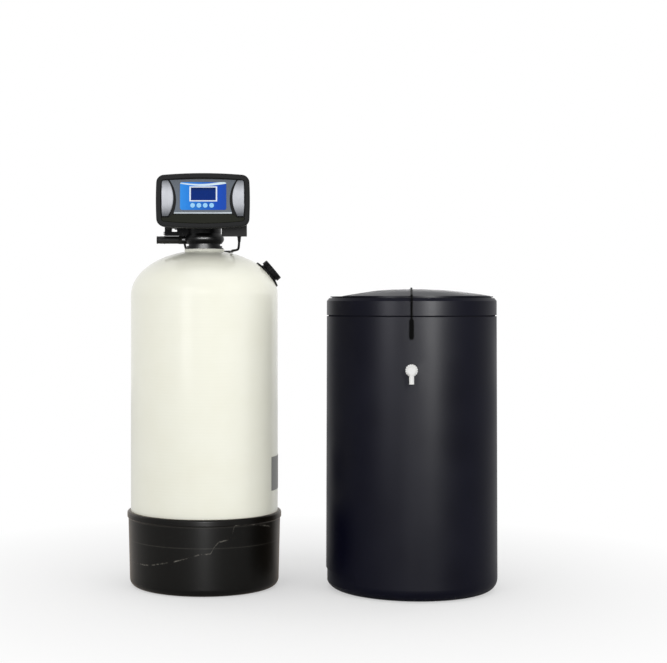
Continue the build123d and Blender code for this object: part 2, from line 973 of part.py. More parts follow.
def fixed_disc():
    disc = rod(disc_radius, fixed_disc_front, chamber_floor)
    port = rod(disc_port_radius, fixed_disc_front - overrun, chamber_floor + overrun)
    disc -= [Pos(-disc_port_offset, 0, 0) * port, Pos(disc_port_offset, 0, 0) * port]
    way = rod(annulus_way_radius, fixed_disc_front - overrun, chamber_floor + overrun)
    disc -= Pos(0, annulus_way_drop, 0) * way
    return valve_axis() * disc


def carrier_keys(growth):
    """Two radial keys between the carrier and the moving disc, on the disc's front face."""
    width = carrier_key_width + 2 * growth
    reach = carrier_key_reach + 2 * growth
    depth = carrier_key_depth + growth + overrun
    middle = moving_disc_radius - carrier_key_reach
    key = Pos(middle, 0, moving_disc_front - overrun) * Box(reach, width, depth, align=upright)
    return ring_of(key, 2)


def moving_disc():
    """Disc with a kidney-shaped window, turned by the carrier's keys."""
    disc = rod(moving_disc_radius, moving_disc_front, fixed_disc_front - running_gap)
    window = Pos(0, disc_port_offset, 0) * rod(
        disc_port_radius, moving_disc_front - overrun, fixed_disc_front + overrun
    )
    disc -= [Rot(0, 0, -disc_window_turn) * window, Rot(0, 0, disc_window_turn) * window]
    disc -= carrier_keys(bond_gap)
    return valve_axis() * disc


def stem_shape(growth, back, front):
    """Round stem with one flat, where the gear sits."""
    flat = Pos(0, stem_flat + growth + stem_radius, front) * Box(
        2 * stem_radius, 2 * stem_radius, back - front, align=upright
    )
    return rod(stem_radius + growth, front, back) - flat


def disc_carrier():
    """Flange with two keys and the stem that passes the bonnet to the gear."""
    body = rod(carrier_radius, carrier_front, moving_disc_front - bond_gap)
    body += carrier_keys(0)
    body += rod(stem_radius, gear_back, carrier_front)
    body += stem_shape(0, gear_back, stem_end)
    return valve_axis() * body


def bonnet_screws(growth=0.0):
    """Screws round the bonnet, heads to the front."""
    screw = rod(bonnet_screw_radius + growth, bonnet_front, barrel_front + bonnet_screw_reach)
    if growth == 0:
        screw += rod(screw_head_radius, bonnet_front - screw_head_height, bonnet_front)
        socket = Pos(0, 0, bonnet_front - screw_head_height) * RegularPolygon(screw_socket, 6)
        screw -= extrude(socket, screw_socket_depth)
    copies = ring_of(Pos(bonnet_screw_circle, 0, 0) * screw, bonnet_screw_count)
    return [valve_axis() * copy for copy in copies]


def valve_bonnet():
    """Cover of the disc chamber: flange, plug, stem bore with a seal groove and a seat for the head."""
    body = rod(barrel_radius, bonnet_front, barrel_front)
    body += rod(chamber_radius - bond_gap, barrel_front, plug_end)
    body += rod(bonnet_ring_outer, ring_front, bonnet_front)
    body -= rod(bonnet_ring_inner, ring_front - overrun, bonnet_front)
    body -= rod(stem_radius + running_gap, ring_front - overrun, plug_end + overrun)
    body -= tube(stem_ring_outer, stem_radius, stem_ring_front - bond_gap, stem_ring_back + bond_gap)
    body -= wall_screw_shape(running_gap, 0)
    return valve_axis() * body - bonnet_screws(running_gap)


def wall_screw_shape(growth, head):
    """Short screws that hold the head's rear wall to the bonnet's ring."""
    screw = rod(plate_screw_radius + growth, wall_front, bonnet_front - plate_screw_margin)
    if head > 0:
        screw += rod(plate_screw_head, wall_front - head, wall_front)
    return ring_of(Pos(wall_screw_circle, 0, 0) * screw, 4, 45)


def plate_screw_shape(growth, head):
    """Long screws through the gear plate and its posts into the rear wall."""
    screw = rod(plate_screw_radius + growth, motor_plate_front, wall_back - plate_screw_margin)
    if head > 0:
        screw += rod(plate_screw_head, motor_plate_front - head, motor_plate_front)
    corner = plate_post_offset
    return [Pos(x, y, 0) * screw for x in (-corner, corner) for y in (-corner, corner)]


def seal_rings():
    """Rubber seals: neck, riser, stem, fill port and overflow gasket."""
    stem_middle = (stem_ring_front + stem_ring_back) / 2
    stem_ring_radius = stem_radius + running_gap + bond_gap + stem_ring_section
    gasket = tube(gasket_radius, overflow_shank_radius + seat_gap, bond_gap, bond_gap + gasket_thickness)
    return [
        o_ring(neck_ring_radius, neck_ring_section, insert_top - neck_ring_section),
        o_ring(riser_ring_radius, riser_ring_section, riser_ring_height),
        valve_axis() * o_ring(stem_ring_radius, stem_ring_section, stem_middle),
        port_place * o_ring(port_ring_radius, port_ring_section, port_ring_height),
        overflow_place * gasket,
    ]


# Drive: gear, pinion, motor and plate
def gear_outline(teeth):
    """Spur gear outline with involute flanks, centred on a tooth, as straight facets between points."""
    pitch = gear_module * teeth / 2
    base = pitch * cos(radians(pressure_angle))
    tip = pitch + addendum_share * gear_module
    root = pitch - dedendum_share * gear_module
    half_tooth = pi / teeth / 2 - backlash_share * pi / teeth / 2
    involute_at_pitch = tan(radians(pressure_angle)) - radians(pressure_angle)
    start = max(base, root)
    flank = []
    for step in range(4):
        radius = start + (tip - start) * step / 3
        turn = acos(base / radius)
        flank.append((radius, half_tooth + involute_at_pitch - (tan(turn) - turn)))
    points = []
    for tooth in range(teeth):
        middle = 2 * pi * tooth / teeth
        right = [(radius, -angle) for radius, angle in flank]
        left = [(radius, angle) for radius, angle in reversed(flank)]
        if root < base:
            right = [(root, -flank[0][1])] + right
            left = left + [(root, flank[0][1])]
        for radius, angle in right + left:
            points.append((radius * cos(middle + angle), radius * sin(middle + angle)))
    return make_face(Polyline(*points, close=True))


def gear_blank(teeth):
    return Pos(0, 0, gear_front) * extrude(gear_outline(teeth), gear_width)


def drive_gear():
    """Gear with a hub and round windows, its bore keyed to the stem's flat."""
    gear = gear_blank(gear_teeth)
    windows = ring_of(Pos(gear_window_circle, 0, 0) * rod(
        gear_window_radius, gear_front - overrun, gear_back + overrun
    ), gear_window_count)
    gear -= windows
    gear -= stem_shape(bond_gap, gear_back + overrun, gear_front - overrun)
    return valve_axis() * gear


def motor_pinion():
    """Pinion meshed with the gear: a gap between two teeth faces the gear's tooth."""
    pinion = Rot(0, 0, 180 / pinion_teeth + 180) * gear_blank(pinion_teeth)
    shaft = rod(motor_shaft_radius, motor_plate_front - motor_boss_height, gear_back + gear_back_gap / 2)
    return valve_axis(centre_distance) * (pinion + shaft)


def gear_motor():
    """Round gear motor on the plate's front, its boss centred in the plate."""
    motor = rod(motor_radius, motor_plate_front - motor_length, motor_plate_front)
    motor += rod(motor_boss_radius, motor_plate_front, motor_plate_front + motor_boss_height)
    waist = tube(motor_radius + overrun, motor_radius - plate_metal / 2,
                 motor_plate_front - motor_length / 2, motor_plate_front - motor_length / 3)
    bore = rod(
        motor_shaft_radius + running_gap,
        motor_plate_front - motor_boss_height - seat_gap,
        motor_plate_front + motor_boss_height + overrun,
    )
    return valve_axis(centre_distance) * (motor - waist - bore)


def gearbox_plate():
    """Plate in front of the gears, on four posts from the head's rear wall."""
    half = plate_half_height
    plate = Pos((plate_half_width - half) / 2, 0, motor_plate_front) * Box(
        plate_half_width + half, 2 * half, plate_metal, align=upright
    )
    corner = plate_post_offset
    for x in (-corner, corner):
        for y in (-corner, corner):
            plate += Pos(x, y, 0) * rod(plate_post_radius, motor_plate_back, wall_front)
    plate -= Pos(centre_distance, 0, 0) * rod(
        motor_boss_radius + bond_gap, motor_plate_front - overrun, motor_plate_back + overrun
    )
    plate -= plate_screw_shape(running_gap, 0)
    return valve_axis() * plate


def valve_screws():
    """Screws of the bonnet, the rear wall, the gear plate and the injector block."""
    inner = wall_screw_shape(0, plate_screw_head_height) + plate_screw_shape(0, plate_screw_head_height)
    return bonnet_screws() + [valve_axis() * screw for screw in inner] + injector_screws()


# Drain stub, injector block and flow meter
def drain_stub():
    """Straight hose stub with a nut, a hose stop and a cut barb at its end, to the left of the bowl."""
    stub = rod(drain_radius, drain_boss_reach + bond_gap, drain_reach)
    stub += rod(drain_thread_radius, drain_thread_start, drain_boss_reach + bond_gap)
    hexagon = extrude(RegularPolygon(drain_nut_radius, 6), drain_nut_thickness)
    stub += Pos(0, 0, drain_boss_reach + bond_gap) * hexagon
    stub += rod(drain_stop_radius, injector_left, injector_left + drain_stop_width)
    for step in range(drain_barb_count):
        foot = drain_reach - (step + 1) * drain_barb_pitch
        stub -= turned([
            (drain_radius, foot),
            (drain_radius - drain_barb_depth, foot + drain_barb_pitch / 2),
            (drain_radius + overrun, foot + drain_barb_pitch / 2),
            (drain_radius + overrun, foot),
        ])
    stub -= rod(drain_bore_radius, drain_thread_start - overrun, drain_reach + overrun)
    return along_x(0, drain_height) * stub


injector_front = -injector_depth / 2
injector_bore_height = injector_base + injector_bore_rise
connector_height = injector_base + connector_rise
injector_right = -injector_pad_reach - bond_gap


def injector_place():
    """Place on the injector's bore, local Z to the back."""
    return along_y(-injector_bore_offset, injector_bore_height)


def injector_block():
    """Ribbed block with a window, a bore for the nozzle and the brine line's threaded pin behind."""
    top = injector_base + injector_height
    body = block(-injector_left, injector_right, -injector_front, injector_front, injector_base, top)
    window_base = injector_base + injector_window_rise
    body -= block(
        -injector_window_offset - injector_window_width / 2,
        -injector_window_offset + injector_window_width / 2,
        overrun - injector_front, injector_front - overrun, window_base, window_base + injector_window_height,
    )
    for rib in range(injector_rib_count):
        left = -injector_left + injector_rib_width * (2 * rib + 1)
        groove_top = window_base - injector_rib_depth
        body -= block(left, left + injector_rib_width, injector_front + injector_rib_depth,
                      injector_front - overrun, injector_base + injector_rib_depth, groove_top)
    body -= injector_place() * rod(nozzle_radius + running_gap, injector_front - overrun, injector_nozzle_end)
    pin = along_y(-connector_offset, connector_height)
    pin_start = injector_depth / 2
    body += pin * rod(connector_radius, 0, pin_start + connector_length)
    pin_end = pin_start + connector_length
    body -= pin * rod(connector_bore_radius, pin_start - connector_stop, pin_end + overrun)
    way_height = (injector_bore_height + connector_height) / 2
    body -= along_x(0, way_height) * rod(nozzle_bore_radius, connector_offset, injector_bore_offset)
    body -= along_y(-connector_offset, way_height) * rod(nozzle_bore_radius, 0, pin_start)
    return body - injector_screws(running_gap)


injector_nozzle_end = injector_front + nozzle_length


def injector_nozzle():
    """Nozzle with its screwed cap in front."""
    body = rod(nozzle_radius, injector_front, injector_nozzle_end - bond_gap)
    cap_front = injector_front - bond_gap - injector_cap_height
    body += rod(nozzle_radius, cap_front, injector_front)
    body += rod(injector_cap_radius, cap_front, injector_front - bond_gap)
    grip = Pos(injector_cap_radius, 0, 0) * rod(injector_rib_width / 2, cap_front - overrun, injector_front)
    body -= ring_of(grip, 12)
    body -= rod(nozzle_bore_radius, injector_front, injector_nozzle_end + overrun)
    return injector_place() * body


def injector_screws(growth=0.0):
    """Two screws from the left through the block into the valve's pad."""
    screws = []
    for side in (-1, 1):
        y = side * (injector_depth / 2 - injector_screw_head_radius - bond_gap)
        place = along_x(y, injector_base + injector_screw_rise)
        start = injector_pad_reach - injector_screw_bite
        screw = rod(injector_screw_radius + growth, start, injector_left)
        if growth == 0:
            head_end = injector_left + injector_screw_head_height
            screw += rod(injector_screw_head_radius, injector_left, head_end)
        screws.append(place * screw)
    return screws


def connector_nut():
    """Compression nut on the brine line's pin."""
    start = injector_depth / 2 + connector_length - connector_thread_length
    end = start + connector_nut_length
    nut = Pos(0, 0, start) * extrude(RegularPolygon(connector_nut_radius, 6), connector_nut_length)
    nut -= rod(connector_radius + bond_gap, start - overrun, injector_depth / 2 + connector_length + bond_gap)
    nut -= rod(connector_bore_radius, start, end + overrun)
    return along_y(-connector_offset, connector_height) * nut


cage_end = cage_start + cage_length


def flow_place():
    return valve_axis(-port_spread)


def turbine_cage():
    """Open ring with spokes at both ends and a spindle for the turbine."""
    ring = tube(port_bore_radius - bond_gap, port_bore_radius - bond_gap - cage_wall, cage_start, cage_end)
    spoke = Box(2 * (port_bore_radius - cage_wall), cage_spoke, cage_spoke, align=upright)
    for base in (cage_start, cage_end - cage_spoke):
        ring += [Pos(0, 0, base) * spoke, Pos(0, 0, base) * Rot(0, 0, quarter_turn) * spoke]
        ring += rod(cage_hub_radius, base, base + cage_spoke)
    return flow_place() * (ring + rod(spindle_radius, cage_start, cage_end))


def flow_turbine():
    """Bladed rotor that the water turns."""
    middle = (cage_start + cage_end) / 2
    bottom = middle - turbine_length / 2
    rotor = rod(turbine_hub_radius, bottom, bottom + turbine_length)
    reach = turbine_radius - turbine_hub_radius / 2
    blade = Pos(turbine_hub_radius / 2 + reach / 2, 0, middle) * Rot(turbine_twist, 0, 0) * Box(
        reach, turbine_blade, turbine_length * cos(radians(turbine_twist))
    )
    rotor += ring_of(blade, turbine_blades)
    rotor -= rod(spindle_radius + running_gap, bottom - overrun, bottom + turbine_length + overrun)
    return flow_place() * rotor


sensor_top = valve_axis_height - port_bore_radius - cage_wall
sensor_y = (cage_start + cage_end) / 2
sensor_base = sensor_top - sensor_length


def sensor_form(growth=0.0):
    """Plug of the flow sensor, from below into the left port's boss."""
    body = rod(sensor_radius + growth, sensor_base, sensor_top)
    if growth == 0:
        body += rod(sensor_flange_radius, sensor_base, sensor_base + sensor_flange_height)
    return Pos(-port_spread, sensor_y, 0) * body


def flow_sensor():
    socket = rod(lead_radius + bond_gap, sensor_base - overrun, sensor_base + lead_socket_depth)
    return sensor_form() - Pos(-port_spread, sensor_y, 0) * socket


# Gland block and the lead round the neck
gland_middle_y = gland_back - gland_depth / 2
lead_x = gland_left + lead_gland_offset


def cable_gland():
    """Block under the head, shaped to its underside, with the lead's socket and the power jack."""
    right = gland_left + gland_width
    body = block(gland_left, right, gland_back, gland_back - gland_depth, gland_base, head_centre_height)
    body = fillet(body.edges().filter_by(Axis.Z), gland_round)
    outline = head_outline(cover_inset - bond_gap)
    body -= slab(outline, gland_back + overrun, gland_back - gland_depth - overrun)
    middle = Pos(gland_stem_x, gland_middle_y, 0)
    stem_base = gland_base + jack_rise + jack_radius + gland_round
    body += middle * rod(gland_stem_radius, stem_base, gland_stem_top)
    jack = along_y(right - jack_side_wall - jack_radius, gland_base + jack_rise)
    body -= jack * rod(jack_radius, gland_back - jack_depth, gland_back + overrun)
    return body - Pos(lead_x, gland_middle_y, 0) * rod(
        lead_radius + bond_gap, gland_base - overrun, gland_base + lead_socket_depth
    )


gland_stem_top = head_centre_height - head_half_height + cover_inset + cover_wall + gland_stem_proud


def lead_route():
    """Points of the lead: from the gland down, round the back of the neck and up to the sensor."""
    loop = []
    for index, turn in enumerate(lead_loop_turns):
        level = lead_level - lead_fall * (index % 2)
        loop.append(Vector(lead_loop_radius, 0, level).rotate(Axis.Z, turn))
    top = Vector(lead_x, gland_middle_y, gland_base + lead_socket_depth)
    corner = Vector(lead_x, gland_middle_y, lead_level + lead_corner_rise)
    bend = corner + (loop[0] - corner) * lead_bend_share
    bend.Z = lead_level
    route = [top, corner, bend] + loop
    route.append(Vector(-port_spread, sensor_y, lead_level + lead_rise))
    route.append(Vector(-port_spread, sensor_y, sensor_base + lead_socket_depth))
    return route


def sensor_lead():
    """Thin round lead, straight runs joined by tangent arcs as large as the runs allow."""
    points = lead_route()
    radii = []
    for before, here, after in zip(points, points[1:], points[2:]):
        turn = (here - before).get_angle(after - here)
        shorter = min((here - before).length, (after - here).length)
        radii.append(lead_run_share * shorter / tan(radians(turn / 2)))
    path = FilletPolyline(*points, radius=radii)
    print("lead radii", [round(radius, 1) for radius in radii], "length", round(path.length, 1))
    section = Plane(origin=path @ 0, z_dir=path % 0) * Circle(lead_radius)
    lead = sweep(section, path=path)
    print("lead volume share", round(lead.volume / (pi * lead_radius ** 2 * path.length), 4))
    return lead


# Control head
def head_outline(inset):
    """Front view of the head drawn in by a distance: four bowed sides and round corners."""
    half_width = head_half_width - inset
    half_height = head_half_height - inset
    side = half_width - head_side_bow
    level = half_height - head_top_bow
    outline = (
        ThreePointArc((-side, level), (0, half_height), (side, level))
        + ThreePointArc((side, level), (half_width, 0), (side, -level))
        + ThreePointArc((side, -level), (0, -half_height), (-side, -level))
        + ThreePointArc((-side, -level), (-half_width, 0), (-side, level))
    )
    face = Sketch() + make_face(outline)
    face = fillet(face.vertices(), head_corner_radius - inset)
    return Pos(0, head_centre_height) * face


def head_sketch(face, x=0.0, rise=0.0):
    """Move a front-view sketch to a place given from the head's centre."""
    return Pos(x, head_centre_height + rise) * face


def head_corners():
    heights = (head_centre_height - head_post_z, head_centre_height + head_post_z)
    return [(x, height) for x in (-head_post_x, head_post_x) for height in heights]


def display_cut(growth, front, back):
    """Opening or body of the display's glass, between two depths."""
    width = window_width - 2 * display_ledge + 2 * growth
    height = window_height - 2 * display_ledge + 2 * growth
    return slab(head_sketch(Rectangle(width, height), display_offset, display_rise), back, front)


def button_places():
    first = button_offset - button_spacing * (button_count - 1) / 2
    height = head_centre_height + button_rise
    return [along_y(first + index * button_spacing, height) for index in range(button_count)]


def board_posts():
    x = board_half_width - board_post_inset
    top = head_centre_height + board_top_rise - board_post_inset
    foot = head_centre_height + board_foot_rise + board_post_inset
    return [along_y(side * x, z) for side in (-1, 1) for z in (foot, top)]


def head_front_frame():
    """Front frame: rounded rim, recessed floor for the panels, posts behind for screws and board."""
    body = slab(head_outline(0), head_split, head_front)
    front_edges = body.faces().sort_by(Axis.Y)[0].outer_wire().edges()
    body = fillet(front_edges, frame_edge_round)
    body -= slab(head_outline(frame_rim), floor_front, head_front - overrun)
    body -= slab(head_outline(frame_wall), head_split + overrun, floor_back)
    for x, z in head_corners():
        post = along_y(x, z) * rod(head_post_radius, floor_back - bond_gap, head_split)
        body += post - along_y(x, z) * rod(head_screw_radius + running_gap, floor_back, head_split + overrun)
    for place in board_posts():
        body += place * rod(board_post_radius, floor_back - bond_gap, board_front)
    body -= display_cut(0, floor_front - overrun, floor_back + overrun)
    stem_hole = rod(button_stem_radius + button_gap, floor_front - overrun, floor_back + overrun)
    return body - [place * stem_hole for place in button_places()]


def head_back_cover():
    """Rear shell of the head with a rear wall, corner posts and an opening round the stem."""
    body = slab(head_outline(cover_inset), head_back, head_split)
    back_edges = body.faces().sort_by(Axis.Y)[-1].outer_wire().edges()
    body = fillet(back_edges, cover_edge_round)
    body -= slab(head_outline(cover_inset + cover_wall), wall_front, head_split - overrun)
    for x, z in head_corners():
        body += along_y(x, z) * rod(head_post_radius, head_split, wall_front + bond_gap)
        screw = rod(head_screw_radius + running_gap, head_split - overrun, head_back + overrun)
        seat = rod(head_screw_head_radius + bond_gap, head_back - head_screw_head_height, head_back + overrun)
        body -= along_y(x, z) * (screw + seat)
    body -= valve_axis() * rod(bonnet_ring_inner, wall_front - overrun, wall_back + overrun)
    screws = wall_screw_shape(running_gap, 0) + plate_screw_shape(running_gap, 0)
    body -= [valve_axis() * screw for screw in screws]
    gland = Pos(gland_stem_x, gland_middle_y, 0)
    return body - gland * rod(gland_stem_radius + bond_gap, gland_base, gland_stem_top + overrun)


def head_screws():
    """Four long screws from the rear wall into the front frame."""
    screws = []
    for x, z in head_corners():
        seat = head_back - head_screw_head_height
        screw = rod(head_screw_radius, head_split - head_screw_bite, seat)
        screw += rod(head_screw_head_radius, seat, head_back)
        socket = Pos(0, 0, head_back - screw_socket_depth) * RegularPolygon(screw_socket, 6)
        screws.append(along_y(x, z) * (screw - extrude(socket, screw_socket_depth)))
    return screws


def fascia_panel():
    """Centre panel with hollowed sides and a gently arched top, open for the display and buttons."""
    top = fascia_top_rise
    foot = fascia_foot_rise
    shoulder = top - fascia_top_bow
    outline = (
        ThreePointArc((-fascia_top_half, shoulder), (0, top), (fascia_top_half, shoulder))
        + ThreePointArc(
            (fascia_top_half, shoulder),
            (fascia_waist_half, fascia_waist_rise),
            (fascia_foot_half, foot),
        )
        + Line((fascia_foot_half, foot), (-fascia_foot_half, foot))
        + ThreePointArc(
            (-fascia_foot_half, foot),
            (-fascia_waist_half, fascia_waist_rise),
            (-fascia_top_half, shoulder),
        )
    )
    body = slab(head_sketch(make_face(outline)), floor_front, fascia_front)
    body -= display_cut(0, fascia_front - overrun, floor_front + overrun)
    bore_back = button_back + button_travel + seat_gap
    counterbore = rod(button_radius + button_gap, fascia_front - overrun, bore_back)
    hole = rod(button_stem_radius + button_gap, fascia_front, floor_front + overrun)
    return body - [place * (counterbore + hole) for place in button_places()]


button_front = label_front - button_proud
button_back = button_front + button_cap_depth
window_front = bezel_front + bond_gap


def side_wings():
    """Two bright wings beside the fascia, straight outside and bellied inside, with soft edges."""
    tip = wing_tip_half
    outer = wing_outer_half
    edge = outer - wing_outer_bow
    top = wing_top_rise
    foot = wing_foot_rise
    middle = (top + foot) / 2
    outline = (
        Line((tip, foot), (edge, foot))
        + ThreePointArc((edge, foot), (outer, middle), (edge, top))
        + Line((edge, top), (tip, top))
        + ThreePointArc((tip, top), (wing_belly_half, middle), (tip, foot))
    )
    face = head_sketch(make_face(outline)) & head_outline(frame_rim + seat_gap)
    wing = slab(face, floor_front, floor_front - wing_thickness)
    wing = fillet(wing.faces().sort_by(Axis.Y)[0].outer_wire().edges(), wing_round)
    return [wing, mirror(wing, about=Plane.YZ)]


def bright_strip():
    foot = fascia_foot_rise - bond_gap - strip_height / 2
    strip = head_sketch(Rectangle(2 * fascia_foot_half, strip_height), 0, foot)
    return slab(strip, floor_front, floor_front - strip_thickness)


def lower_trim():
    """Lower band with a raised middle and lower shoulders, set in the frame's opening."""
    shoulder = trim_shoulder_rise
    side = trim_side_rise
    reach = head_half_width
    foot = -head_half_height
    outline = Polyline(
        (-reach, side),
        (-trim_slope_half, side),
        (-trim_shoulder_half, shoulder),
        (trim_shoulder_half, shoulder),
        (trim_slope_half, side),
        (reach, side),
        (reach, foot),
        (-reach, foot),
        close=True,
    )
    face = head_sketch(make_face(outline)) & head_outline(frame_rim + bond_gap)
    band = slab(face, floor_front, floor_front - trim_thickness)
    return fillet(band.faces().sort_by(Axis.Y)[0].outer_wire().edges(), trim_round)


def label_panel():
    """Thin label on the fascia with a raised frame round the display's window."""
    label = head_sketch(RectangleRounded(label_width, label_height, label_corner), label_offset, label_rise)
    body = slab(label, fascia_front, label_front)
    bezel = RectangleRounded(bezel_width, bezel_height, bezel_corner)
    frame = head_sketch(bezel, display_offset, display_rise)
    body += slab(frame, fascia_front, bezel_front)
    body -= display_cut(display_ledge, bezel_front - overrun, fascia_front + overrun)
    hole = rod(button_radius + button_gap, label_front - overrun, fascia_front + overrun)
    return body - [place * hole for place in button_places()]


def display_window():
    return display_cut(display_ledge - bond_gap, window_front, fascia_front)


def display_module():
    """Display: a block on the control board with its glass up to the window."""
    body = display_cut(-bond_gap, fascia_front + bond_gap, board_front)
    base = head_sketch(Rectangle(module_width, module_height), display_offset, display_rise)
    return body + slab(base, board_front, floor_back + bond_gap)


def button(place):
    """Round button: cap in the label, stem through the fascia and a collar behind the floor."""
    body = rod(button_radius, button_front, button_back)
    body += rod(button_stem_radius, button_back, button_tip)
    collar = floor_back + seat_gap
    body += rod(button_collar_radius, collar, collar + button_collar_thickness)
    return place * body


button_tip = board_front - switch_height - button_travel - seat_gap


def control_board():
    """Circuit board with a switch behind each button and a few parts on its back."""
    top = board_top_rise
    foot = board_foot_rise
    face = head_sketch(Rectangle(2 * board_half_width, top - foot), 0, (top + foot) / 2)
    body = slab(face, board_back, board_front)
    for place in button_places():
        body += place * Pos(0, 0, board_front - switch_height) * Box(
            switch_side, switch_side, switch_height, align=upright
        )
    chip = Box(chip_side, chip_side, chip_height, align=upright)
    for x, rise in ((-chip_side, chip_side), (2 * chip_side, chip_side / 2)):
        body += along_y(x, head_centre_height + rise) * Pos(0, 0, board_back) * chip
    return body


# Brine tank
def brine_radius(height):
    """Outer radius of the brine tank's wall, which narrows a little upwards."""
    return brine_foot_radius + (brine_top_radius - brine_foot_radius) * height / brine_shoulder_height


overflow_wall = brine_radius(overflow_height)
overflow_mouth = Plane(origin=(0, -overflow_wall, overflow_height), x_dir=(1, 0, 0), z_dir=(0, -1, 0))
overflow_place = fitting_place * overflow_mouth.location


def sector(radius, start, end, bottom, top):
    """Upright pie slice between two angles about Z."""
    arc = CenterArc((0, 0), radius, start, end - start)
    face = make_face(Line((0, 0), arc @ 0) + arc + Line(arc @ 1, (0, 0)))
    return Pos(0, 0, bottom) * extrude(face, top - bottom)


def brine_tank():
    """Round tank with a soft foot, a shoulder, an inset rim and a moulded recess at the left."""
    wall = brine_wall
    body = turned([
        (0, 0),
        (brine_foot_radius, 0, brine_corner_radius),
        (brine_top_radius, brine_shoulder_height),
        (rim_radius, brine_shoulder_height),
        (rim_radius, rim_top),
        (rim_radius - wall, rim_top),
        (rim_radius - wall, brine_shoulder_height - brine_shoulder),
        (brine_top_radius - wall, brine_shoulder_height - 2 * brine_shoulder),
        (brine_foot_radius - wall, wall, brine_corner_radius - wall),
        (0, wall),
    ])
    reach = brine_foot_radius + overrun
    start = -quarter_turn - recess_end_turn
    end = -quarter_turn - recess_start_turn
    recess = sector(reach, start, end, -overrun, recess_top)
    recess -= rod(brine_foot_radius - recess_depth, -2 * overrun, recess_top + overrun)
    body -= recess
    body = brine_place * body
    return body - overflow_place * rod(overflow_shank_radius + seat_gap, -2 * wall, wall)


# Lid of the brine tank
crown_bulge = crown_rise - crown_step
crown_ball_radius = (crown_radius ** 2 + crown_bulge ** 2) / (2 * crown_bulge)
crown_top = lip_top + crown_rise
crown_middle = crown_top - crown_ball_radius
crown_tall = crown_top + crown_rise


def crown_cap(growth, bottom):
    """Shallow cap of a large ball, grown by a distance, on a round foot that starts at a height."""
    foot = crown_radius + growth
    ball = crown_ball_radius + growth
    half = foot / 2
    arc = ThreePointArc(
        (foot, crown_middle + sqrt(ball * ball - foot * foot)),
        (half, crown_middle + sqrt(ball * ball - half * half)),
        (0, crown_middle + ball),
    )
    outline = Polyline(arc @ 1, (0, bottom), (foot, bottom), arc @ 0) + arc
    return revolve(Plane.XZ * make_face(outline), Axis.Z)


def crown_form(wall, bottom):
    """The crown drawn in by a wall, cut away at the left by a wide cone."""
    steepness = crown_cut_slope / crown_rise
    cut_bottom = bottom - overrun
    foot = crown_cut_radius - crown_cut_slope + steepness * (cut_bottom - lip_top + wall)
    tall = crown_tall - cut_bottom
    place = Pos(-crown_cut_radius - crown_cut_reach, 0, cut_bottom) * Rot(0, 0, 2 * quarter_turn)
    return crown_cap(-wall, bottom) - place * Cone(foot, foot + steepness * tall, tall, align=upright)


def ridge_prism():
    """Upright prism over an S-shaped line through the lid's middle."""
    tall = 4 * crown_rise
    shape = []
    for side in (-1, 1):
        middle = (side * ridge_arc_radius, 0)
        half_ring = CenterArc(middle, ridge_arc_radius, quarter_turn * (1 - side), 2 * quarter_turn)
        shape.append(Pos(0, 0, lid_roof) * extrude(trace(half_ring, ridge_width), tall))
    return shape


def brine_lid():
    """Lid: skirt, bevel, step with an undercut, shallow hollow crown with a curved groove."""
    inner = rim_radius + lid_fit
    body = turned([
        (0, lid_roof),
        (lid_ledge_radius, lid_roof),
        (lid_ledge_radius, rim_top + seat_gap),
        (inner, rim_top + seat_gap),
        (inner, brine_shoulder_height + seam_gap),
        (brine_top_radius, brine_shoulder_height + seam_gap),
        (brine_top_radius, skirt_top),
        (bevel_radius, bevel_top),
        (lip_groove_radius, bevel_top),
        (lip_groove_radius, lip_under),
        (lip_radius, lip_under),
        (lip_radius, lip_top),
        (0, lip_top),
    ])
    body += crown_form(0, (lid_roof + lip_top) / 2)
    body -= crown_form(crown_wall, lid_roof - overrun)
    skin = crown_cap(overrun, lid_roof) - crown_cap(-ridge_depth, lid_roof - overrun)
    body -= [skin & prism for prism in ridge_prism()]
    body = brine_place * body
    return body - fitting_place * strap_stud(seat_gap)


def strap_stud(growth):
    """Peg that holds the strap's inner end in the lid."""
    middle = -strap_start - strap_stud_margin
    top = crown_top
    foot = top - strap_stud_length - growth
    return Pos(0, middle, 0) * rod(strap_stud_radius + growth, foot, top + strap_gap + strap_thickness / 2)


def lid_cover(growth):
    """Smooth form just outside the lid and the upper wall, which the strap follows."""
    side = brine_top_radius + growth
    foot = strap_foot - overrun
    body = turned([
        (0, foot),
        (side, foot),
        (side, skirt_top + growth),
        (lip_radius + growth, lip_top + growth),
        (0, lip_top + growth),
    ])
    return body + crown_cap(growth, lip_top)


def lid_strap():
    """Rubber strap: a narrow band from the crown over the rim, ending in a wider pad with round ends."""
    band = lid_cover(strap_gap + strap_thickness) - lid_cover(strap_gap)
    reach = brine_top_radius + 4 * strap_thickness
    length = reach - strap_start
    plan = Pos(0, -strap_start - length / 2) * Rectangle(strap_pad_width, length)
    band = band & extrude(plan, crown_tall)
    middle = strap_foot + strap_pad_height / 2
    front = Pos(0, middle) * Rot(0, 0, quarter_turn) * SlotOverall(strap_pad_height, strap_pad_width)
    front += Pos(0, (crown_tall + middle) / 2) * Rectangle(strap_width, crown_tall - middle)
    band = band & slab(front, 0, -reach)
    return fitting_place * (band + strap_stud(0))


